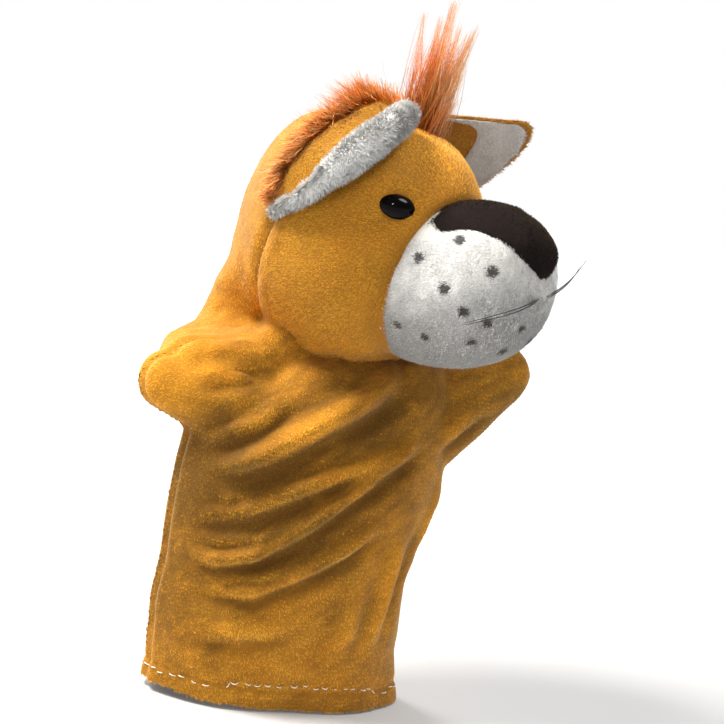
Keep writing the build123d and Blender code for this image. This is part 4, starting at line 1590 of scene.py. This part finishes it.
# Locks of the tuft: where each one's tip ends, how many hairs it has and how tight it is.
TUFT_LOCKS = [
    ((2.8, 6.0, 92.5), 0.00, 46, 0.6),
    ((5.2, 5.0, 80.0), 0.10, 34, 1.4),
    ((9.0, 7.0, 80.0), 0.22, 50, 1.2),
    ((11.0, 5.5, 92.0), 0.34, 80, 0.8),
    ((13.2, 5.0, 84.0), 0.43, 60, 1.2),
    ((15.8, 6.0, 98.6), 0.50, 100, 0.8),
    ((17.5, 4.0, 82.0), 0.58, 60, 1.4),
    ((19.8, 6.5, 90.0), 0.67, 80, 0.9),
    ((22.0, 4.5, 82.0), 0.76, 70, 1.2),
    ((24.0, 7.0, 87.5), 0.85, 80, 0.8),
    ((27.4, 6.0, 89.5), 0.96, 90, 0.8),
    ((26.0, 4.0, 74.0), 1.02, 44, 1.4),
    ((25.5, 6.0, 61.5), 1.08, 50, 1.0),
    ((14.0, -2.0, 66.0), 0.50, 90, 5.0),
    ((17.0, 10.0, 68.0), 0.60, 90, 5.0),
]
tuft_roots = []
tuft_tips = []
for tip, place, hairs, loose in TUFT_LOCKS:
    base = np.array([8.5 + 12.5 * place, 1.0 + 3.0 * place, 50.0])
    around = rng.normal(size=(hairs, 3)) * np.array([2.2, 4.2, 0.3])
    root = base + around
    root = unit(root) * (SKULL + 1.2)
    end = np.array(tip) + rng.normal(size=(hairs, 3)) * loose
    short = rng.random(hairs)[:, None] ** 2.6 * 0.45
    end = end + (root - end) * short
    tuft_roots.append(root)
    tuft_tips.append(end)
tuft = hair_lock(
    "mane_tuft_hair",
    head_to_row(np.concatenate(tuft_roots)),
    head_to_row(np.concatenate(tuft_tips)),
    FORWARD,
    0.3,
    HAIR,
    6,
    steps=6,
    curl=1.1,
)
head_piece(tuft, HAIR, "mane_hair", "mane_tuft")

fringe_count = 11000
angle = rng.uniform(math.radians(-84), math.radians(84), fringe_count)
side = np.sign(angle)
share = np.clip((np.abs(angle) - EAR_TOP) / (EAR_LOW - EAR_TOP), 0, 1)
index = (share * (EAR_STEPS - 1)).astype(int)
base = np.array([seam_point(abs(a), s, SKULL) for a, s in zip(angle, side)])
ridge = FOLDED_RIDGE[index] * np.column_stack([np.ones(fringe_count), -side, np.ones(fringe_count)])
height = rng.uniform(0.0, 0.95, fringe_count)[:, None]
near_top = smoothstep(math.radians(14), math.radians(2), np.abs(angle))[:, None]
root = base + (ridge - base) * height * 0.35 * (1 - near_top)
control = (FOLDED_RIDGE - 0.3025 * ear_base(-1) - 0.2025 * FOLDED_EDGE) / 0.495
along = 0.42 * height * (1 - near_top)
on_ear = base * (1 - along) ** 2 + control[index] * 2 * along * (1 - along)
on_ear = on_ear + FOLDED_EDGE[index] * along**2
on_ear = on_ear + unit(on_ear) * 0.9
root = np.where(side[:, None] < 0, on_ear, root)
behind = rng.uniform(0.4, 9.0, fringe_count)[:, None] * (1 - 0.6 * share[:, None])
root = root - SEAM_NORMAL * behind * (rng.random(fringe_count) < 0.6)[:, None]
root = root + np.array([1.0, 0, 0]) * near_top * rng.uniform(0, 9, fringe_count)[:, None]
root = unit(root) * np.maximum(np.linalg.norm(root, axis=1, keepdims=True), SKULL + 1.0)
tangent = np.column_stack(
    [-SEAM_RISE[0] * np.sin(np.abs(angle)), side * np.cos(angle), -SEAM_RISE[2] * np.sin(np.abs(angle))]
)
stand = 0.45 * (1 - share[:, None]) + 0.3
lie = 0.75 * tangent + stand * unit(root) - 0.5 * SEAM_NORMAL
lie = lie + 0.28 * rng.normal(size=(fringe_count, 3))
clump = np.column_stack([lattice_noise(root, 3.5, 121 + k) for k in range(3)])
lie = lie + 0.45 * clump
length = rng.uniform(6, 13, fringe_count)[:, None] * (1 - 0.5 * share[:, None])
tip = root + unit(lie) * length
fringe = hair_lock(
    "mane_fringe_hair", head_to_row(root), head_to_row(tip), UP, 0.42, HAIR, 7, steps=4, curl=0.8
)
head_piece(fringe, HAIR, "mane_hair", "mane_fringe")


# ------------------------------------------------------------------ threads
def nearest_on(surface, places):
    """The closest points of a surface to some places, with the surface's direction there."""
    points, normals, triangles = surface
    tree = BVHTree.FromPolygons(points.tolist(), triangles.tolist())
    found = []
    for place in places:
        spot, direction, index, _ = tree.find_nearest(Vector(place))
        soft = unit(normals[triangles[index]].sum(0))
        found.append((np.array(spot), soft))
    return np.array([f[0] for f in found]), np.array([f[1] for f in found])


def join_surfaces(*surfaces):
    points = np.concatenate([s[0] for s in surfaces])
    normals = np.concatenate([s[1] for s in surfaces])
    triangles = []
    offset = 0
    for surface in surfaces:
        triangles.append(surface[2] + offset)
        offset += len(surface[0])
    return points, normals, np.concatenate(triangles)


def even_line(line, spacing):
    """Points along a line at an even spacing."""
    line = np.asarray(line, float)
    lengths = np.concatenate([[0], np.cumsum(np.linalg.norm(np.diff(line, axis=0), axis=1))])
    count = max(2, int(lengths[-1] / spacing) + 1)
    places = np.linspace(0, lengths[-1], count)
    return np.column_stack([np.interp(places, lengths, line[:, k]) for k in range(3)])


def tube_rings(line, radii, sides, over):
    """Rings of a tube along a line of points."""
    along = unit(np.gradient(line, axis=0))
    beside = unit(np.cross(along, over))
    above = np.cross(beside, along)
    around = np.linspace(0, 2 * math.pi, sides, endpoint=False)
    return [
        line[step]
        + np.outer(np.cos(around), beside[step]) * radii[step]
        + np.outer(np.sin(around), above[step]) * radii[step]
        for step in range(len(line))
    ]


def stitch_run(name, surface, line, period, share, radius, proud, material, seed, wander=0.15):
    """A row of stitches on a surface: each comes up out of the cloth and dives back."""
    rng = np.random.default_rng(seed)
    fine = even_line(line, 0.4)
    fine, facing = nearest_on(surface, fine)
    count = int(len(fine) * 0.4 / period)
    points = []
    faces = []
    for number in range(count):
        start = int((number + 0.5 * (1 - share)) * period / 0.4)
        end = int((number + 1 - 0.5 * (1 - share)) * period / 0.4)
        end = min(end, len(fine) - 1)
        if end - start < 3:
            continue
        chosen = np.linspace(start, end, 7).astype(int)
        spots = fine[chosen]
        directions = facing[chosen]
        arch = np.sin(np.linspace(0, math.pi, 7)) ** 0.6
        lifted = spots + directions * (proud * arch - 0.9 * (1 - arch))[:, None]
        lifted = lifted + rng.normal(size=3) * wander
        sizes = radius * (0.75 + 0.25 * arch) * rng.uniform(0.9, 1.1)
        more, sides = ring_stack(tube_rings(lifted, sizes, 7, directions))
        faces += [tuple(c + sum(len(p) for p in points) for c in side) for side in sides]
        points.append(more)
    piece = make_mesh(name, np.concatenate(points), faces)
    piece.data.materials.append(material)
    return piece


BODY_SURFACE = join_surfaces(cloth_parts["front_body_cloth"], cloth_parts["back_body_cloth"])
HEM_LINE_HEIGHT = 8.5
turns = np.linspace(math.radians(-92), math.radians(268), 200)
hem_line = np.column_stack(
    [62 * np.cos(turns), 33 * np.sin(turns), np.full(len(turns), HEM_LINE_HEIGHT)]
)
hem_line, _ = nearest_on(BODY_SURFACE, hem_line)
hem = stitch_run("hem_stitches", BODY_SURFACE, hem_line, 4.6, 0.66, 0.22, 0.6, WHITE_THREAD, 101, 0.45)
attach(hem, "root")
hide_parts("hem_stitching")

for side_name, side in (("right", -1), ("left", 1)):
    line = [(side * 66, -2, z) for z in np.linspace(14, 96, 60)]
    line, _ = nearest_on(BODY_SURFACE, line)
    seam = stitch_run(
        side_name + "_side_stitches", BODY_SURFACE, line, 2.6, 0.7, 0.22, 0.35, GOLD_THREAD, 102
    )
    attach(seam, "root")
    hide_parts(side_name + "_side_seam_thread")

ARM_SEAMS = {
    "right": [(-58, -2, 137), (-70, -2, 136), (-88, -2, 122), (-74, -2, 104), (-59, -2, 98)],
    "left": [(46, -2, 142), (60, -2, 150), (92, -2, 160), (86, -2, 132), (68, -2, 112)],
}
for side_name, line in ARM_SEAMS.items():
    surface = join_surfaces(
        cloth_parts[side_name + "_arm_front_cloth"], cloth_parts[side_name + "_arm_back_cloth"]
    )
    line, _ = nearest_on(surface, even_line(line, 2.0))
    seam = stitch_run(
        side_name + "_arm_stitches", surface, line, 2.6, 0.7, 0.2, 0.1, GOLD_THREAD, 104
    )
    attach_cloth(seam, side_name + "_arm")
    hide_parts(side_name + "_arm_seam_thread")

face_seam_line = [
    head_to_row(seam_point(abs(turn), 1 if turn > 0 else -1, SKULL - 1))
    for turn in np.linspace(math.radians(-150), math.radians(150), 160)
]
face_seam = stitch_run(
    "face_seam_stitches", FACE_SURFACE, face_seam_line, 2.6, 0.7, 0.22, 0.3, GOLD_THREAD, 106
)
head_piece(face_seam, GOLD_THREAD, "gold_thread", "face_seam_thread")

turns = np.linspace(0, 2 * math.pi, 150)
ring = MUZZLE_CLOTH_RADIUS + 0.4
muzzle_line = np.column_stack(
    [np.zeros(len(turns)), ring * np.cos(turns), MUZZLE_MIDDLE + ring * np.sin(turns)]
)
muzzle_line[:, 0] = np.sqrt(SKULL**2 - muzzle_line[:, 1] ** 2 - muzzle_line[:, 2] ** 2)
muzzle_seam = stitch_run(
    "muzzle_seam_stitches", FACE_SURFACE, head_to_row(muzzle_line), 2.4, 0.7, 0.18, -0.3,
    WHITE_THREAD, 107,
)
head_piece(muzzle_seam, WHITE_THREAD, "white_thread", "muzzle_seam_thread")

neck_line = np.column_stack([22.5 * np.cos(turns), 22.5 * np.sin(turns), np.full(len(turns), -44.5)])
neck_seam = stitch_run(
    "neck_stitches", FACE_SURFACE, head_to_row(neck_line), 3.0, 0.7, 0.25, 0.4, GOLD_THREAD, 108
)
head_piece(neck_seam, GOLD_THREAD, "gold_thread", "neck_seam_thread")


# ------------------------------------------------------------------ stuffing and pocket
POCKET_RADIUS = 10.0
POCKET_TOP = 1.0
POCKET_MOUTH = -44.9


def revolve(profile, columns=72):
    """Rings about the head's upright line from (radius, height) pairs."""
    around = np.linspace(0, 2 * math.pi, columns, endpoint=False)
    return [
        np.column_stack([r * np.cos(around), r * np.sin(around), np.full(columns, z)])
        for r, z in profile
    ]


def build_head_filling():
    """A lumpy ball of fibre with a hollow up its middle for the finger pocket."""
    ball = 43.5
    hollow = POCKET_RADIUS + 2.0
    profile = [(0.1, POCKET_TOP + 3), (6, POCKET_TOP + 2.6), (hollow - 1, POCKET_TOP + 1)]
    profile += [(hollow, z) for z in np.linspace(POCKET_TOP - 2, -43.0, 18)]
    start = math.asin(hollow / ball)
    for turn in np.linspace(start, math.pi - 0.01, 50):
        profile.append((ball * math.sin(turn), -ball * math.cos(turn)))
    points, faces = ring_stack(revolve(profile))
    outer = smoothstep(39, 42.5, np.linalg.norm(points, axis=1))
    lumps = 1.0 * lattice_noise(points, 9, 111) + 0.5 * lattice_noise(points, 4, 112)
    points = points + unit(points) * (lumps * outer)[:, None]
    return make_mesh("head_filling", head_to_row(points), faces)


def build_muzzle_filling():
    """A lumpy pad of fibre that fills the muzzle and rests on the face."""
    around = np.linspace(0, 2 * math.pi, 72, endpoint=False)
    rings = []
    for tilt in np.linspace(0.02, math.radians(88), 34):
        direction = np.column_stack(
            [
                np.full(len(around), math.cos(tilt)),
                math.sin(tilt) * np.cos(around),
                math.sin(tilt) * np.sin(around),
            ]
        )
        middle = np.array([49.0, 0, MUZZLE_MIDDLE])
        rings.append(middle + (muzzle_point(direction) - middle) * 0.90)
    edge = rings[-1]
    bearing = SKULL + 0.6
    for size in (1.0, 0.96, 0.8, 0.6, 0.4, 0.2, 0.01):
        ring = np.array([0, 0, MUZZLE_MIDDLE]) + (edge - [49.0, 0, MUZZLE_MIDDLE]) * size
        from_centre = ring[:, 1] ** 2 + ring[:, 2] ** 2
        ring[:, 0] = np.sqrt(np.maximum(bearing**2 - from_centre, 900.0))
        rings.append(ring)
    points, faces = ring_stack(rings)
    lumps = 0.8 * lattice_noise(points, 8, 113) + 0.4 * lattice_noise(points, 3.5, 114)
    points = points + unit(points - [55.0, 0, MUZZLE_MIDDLE]) * lumps[:, None] * 0.6
    return make_mesh("muzzle_filling", head_to_row(points), faces)


def build_pocket():
    """The cloth tube that a finger goes into, gathered at its closed end."""
    profile = [(19.0, POCKET_MOUTH + 0.9), (17.0, POCKET_MOUTH + 0.7), (13.0, POCKET_MOUTH + 1.0)]
    profile += [(POCKET_RADIUS + 0.8, z) for z in np.linspace(POCKET_MOUTH + 2.5, POCKET_TOP - 3, 40)]
    profile += [(POCKET_RADIUS - 0.6, POCKET_TOP - 1.0), (6.0, POCKET_TOP), (0.4, POCKET_TOP + 0.3)]
    rings = revolve(profile, 90)
    points = np.concatenate(rings)
    radial = unit(points * [1, 1, 0])
    crease = 0.5 * lattice_noise(points * [1, 1, 0.25], 3.5, 115)
    crease += 0.4 * lattice_noise(points * [0.3, 0.3, 1], 4, 116)
    points = points + radial * crease[:, None]
    piece = make_mesh("finger_pocket_cloth", head_to_row(points), grid_faces(len(rings), 90))
    thicken(piece, 0.7)
    return piece


head_filling = head_piece(build_head_filling(), FILLING, "fibre_filling", "head_stuffing")
muzzle_filling = head_piece(build_muzzle_filling(), FILLING, "fibre_filling", "muzzle_stuffing")
pocket = head_piece(build_pocket(), LINING, "lining_cloth", "finger_pocket")
for side_name in ("right", "left"):
    washer = frame["nodes"][side_name + "_eye_washer"]
    washer.data.materials.clear()
    washer.data.materials.append(WASHER_PLASTIC)


def build_tape():
    """The woven strip along the top seam that holds the mane."""
    rows = []
    for back in np.linspace(0.6, 9.4, 9):
        row = []
        for turn in np.linspace(math.radians(-80), math.radians(80), 120):
            spot = seam_point(abs(turn), 1 if turn > 0 else -1, SKULL) - SEAM_NORMAL * back
            row.append(unit(spot) * (SKULL + 1.1))
        rows.append(row)
    points = np.array(rows).reshape(-1, 3)
    points = points + unit(points) * (0.2 * lattice_noise(points, 3, 117))[:, None]
    piece = make_mesh("mane_tape", head_to_row(points), grid_faces(9, 120, wrap=False))
    face_outwards(piece, HEAD)
    thicken(piece, 0.8)
    return piece


TAPE_CLOTH = backing_material("mane tape", (0.20, 0.05, 0.006), (0.42, 0.13, 0.02), 0.9)
head_piece(build_tape(), TAPE_CLOTH, "mane_hair", "mane_base_tape")


# ------------------------------------------------------------------ whiskers
# Each bristle: where it leaves the muzzle, how far it reaches, its sag and its bow.
BRISTLES = {
    "right": [
        ((83.6, -2.6, -4.6), (-9.0, -35.5, -11.8), 1.5, 4.5),
        ((83.4, -3.2, -5.4), (-9.6, -34.8, -12.0), 0.9, 4.6),
    ],
    "left": [
        ((83.4, 3.6, -3.6), (-5.0, 38.0, 15.0), -1.2, 1.0),
        ((83.2, 4.2, -4.4), (-6.5, 36.5, 12.5), -0.6, 1.5),
    ],
}
for side_name, bristles in BRISTLES.items():
    points = []
    faces = []
    for root, reach, sag, bow in bristles:
        share = np.linspace(0, 1, 26)[:, None]
        line = np.array(root) + np.array(reach) * share
        line = line + np.array([1.0, 0, 0]) * bow * np.sin(math.pi * share)
        line = line + np.array([0, 0, sag]) * np.sin(math.pi * share)
        radii = 0.3 * (1 - 0.7 * share[:, 0] ** 1.5)
        over = np.tile([0.0, 0.0, 1.0], (26, 1))
        more, sides = ring_stack(tube_rings(line, radii, 8, over))
        faces += [tuple(c + sum(len(p) for p in points) for c in side) for side in sides]
        points.append(more)
    bristle = make_mesh(side_name + "_whiskers", head_to_row(np.concatenate(points)), faces)
    head_piece(bristle, BRISTLE, "black_bristle", side_name + "_whisker_bristles")


# ------------------------------------------------------------------ floor, light and camera
def soft_lamp(name, place, aim, size, power, colour):
    light = bpy.data.lights.new(name, "AREA")
    light.shape = "DISK"
    light.size = size
    light.energy = power
    light.color = colour
    lamp = bpy.data.objects.new(name, light)
    lamp.location = place
    turn = (Vector(aim) - Vector(place)).to_track_quat("-Z", "Y")
    lamp.rotation_euler = turn.to_euler()
    bpy.context.scene.collection.objects.link(lamp)


VIEW_TURN = math.radians(-25)
VIEW_RISE = math.radians(8)
VIEW_ROLL = math.radians(12)
VIEW_TARGET = np.array([8.5, -4.0, 140.5])
VIEW_DISTANCE = 650.0
VIEW_LENS = 80.8

view_back = np.array(
    [
        math.sin(VIEW_TURN) * math.cos(VIEW_RISE),
        -math.cos(VIEW_TURN) * math.cos(VIEW_RISE),
        math.sin(VIEW_RISE),
    ]
)
view_level = np.array([math.cos(VIEW_TURN), math.sin(VIEW_TURN), 0.0])
view_over = np.cross(view_back, view_level)
view_right = math.cos(VIEW_ROLL) * view_level + math.sin(VIEW_ROLL) * view_over
view_up = -math.sin(VIEW_ROLL) * view_level + math.cos(VIEW_ROLL) * view_over


def from_view(right, up, back):
    """A place in metres, given in millimetres along the camera's own directions."""
    return tuple((VIEW_TARGET + right * view_right + up * view_up + back * view_back) * MM)


def pale_floor():
    """A wide pale floor, level with the glove's hem, that glows: more behind the glove as the camera sees it and
    further out, less near the glove as painted shade.
    """
    wide = 6000.0
    floor = make_mesh(
        "floor",
        [(-wide, -wide, -1.5), (wide, -wide, -1.5), (wide, wide, -1.5), (-wide, wide, -1.5)],
        [(0, 1, 2, 3)],
        smooth=False,
    )
    material, nodes, links = node_material("floor")
    shader = nodes["Principled BSDF"]
    shader.inputs["Base Color"].default_value = (0.62, 0.62, 0.62, 1)
    shader.inputs["Roughness"].default_value = 0.95
    shader.inputs["Specular IOR Level"].default_value = 0.0
    shader.inputs["Emission Color"].default_value = (1, 1, 1, 1)
    place = nodes.new("ShaderNodeNewGeometry")
    behind = nodes.new("ShaderNodeVectorMath")
    behind.operation = "DOT_PRODUCT"
    behind.inputs[1].default_value = tuple(-view_back)
    links.new(place.outputs["Position"], behind.inputs[0])
    # Painted light: the floor glows where it lies behind the glove as seen from the camera.
    backdrop = add_range(nodes, links, behind.outputs["Value"], 0.05, 0.7, 0.0, 0.45)
    reach = nodes.new("ShaderNodeVectorMath")
    reach.operation = "LENGTH"
    links.new(place.outputs["Position"], reach.inputs[0])
    # Painted shade: the floor's glow fades near the glove and grows further out.
    around = add_range(nodes, links, reach.outputs["Value"], 0.2, 1.6, 0.08, 0.55)
    total = nodes.new("ShaderNodeMath")
    total.operation = "ADD"
    links.new(backdrop, total.inputs[0])
    links.new(around, total.inputs[1])
    glow = total.outputs["Value"]
    links.new(glow, shader.inputs["Emission Strength"])
    floor.data.materials.append(material)


pale_floor()
soft_lamp("glint", from_view(150, 330, 620), from_view(10, 40, 0), 0.03, 0.6, (1.0, 1.0, 1.0))
soft_lamp("key", from_view(-360, 780, 300), from_view(0, 0, 0), 0.32, 15.5, (1.0, 0.97, 0.92))
soft_lamp("fill", from_view(460, 620, 200), from_view(30, 60, 0), 0.3, 3.2, (1.0, 0.98, 0.95))
soft_lamp("rim", from_view(-520, 420, -360), from_view(0, 0, 0), 0.4, 5.0, (1.0, 1.0, 1.0))


def studio_world():
    """Soft light from all round, brightest from the backdrop's side."""
    world = bpy.data.worlds.new("world")
    world.use_nodes = True
    nodes = world.node_tree.nodes
    links = world.node_tree.links
    place = nodes.new("ShaderNodeTexCoord")
    facing = nodes.new("ShaderNodeVectorMath")
    facing.operation = "DOT_PRODUCT"
    links.new(place.outputs["Generated"], facing.inputs[0])
    facing.inputs[1].default_value = tuple(-view_back)
    behind = add_range(nodes, links, facing.outputs["Value"], 0.3, 0.9, 0.24, 1.0)
    height = nodes.new("ShaderNodeSeparateXYZ")
    links.new(place.outputs["Generated"], height.inputs[0])
    skyline = add_range(nodes, links, height.outputs["Z"], 0.16, 0.42, 0.82, 0.2)
    larger = nodes.new("ShaderNodeMath")
    larger.operation = "MAXIMUM"
    links.new(behind, larger.inputs[0])
    links.new(skyline, larger.inputs[1])
    glow = larger.outputs["Value"]
    nodes["Background"].inputs["Color"].default_value = (1.0, 1.0, 1.0, 1.0)
    links.new(glow, nodes["Background"].inputs["Strength"])
    return world


world = studio_world()
bpy.context.scene.world = world
bpy.context.scene.view_settings.view_transform = "Standard"

camera_data = bpy.data.cameras.new("camera")
camera_data.lens = VIEW_LENS
camera_data.sensor_width = 36.0
camera_data.clip_start = 0.01
camera_data.clip_end = 50.0
camera = bpy.data.objects.new("camera", camera_data)
axes = Matrix([view_right, view_up, view_back]).transposed()
camera.matrix_world = Matrix.Translation(from_view(0, 0, VIEW_DISTANCE)) @ axes.to_4x4()
bpy.context.scene.collection.objects.link(camera)
bpy.context.scene.camera = camera
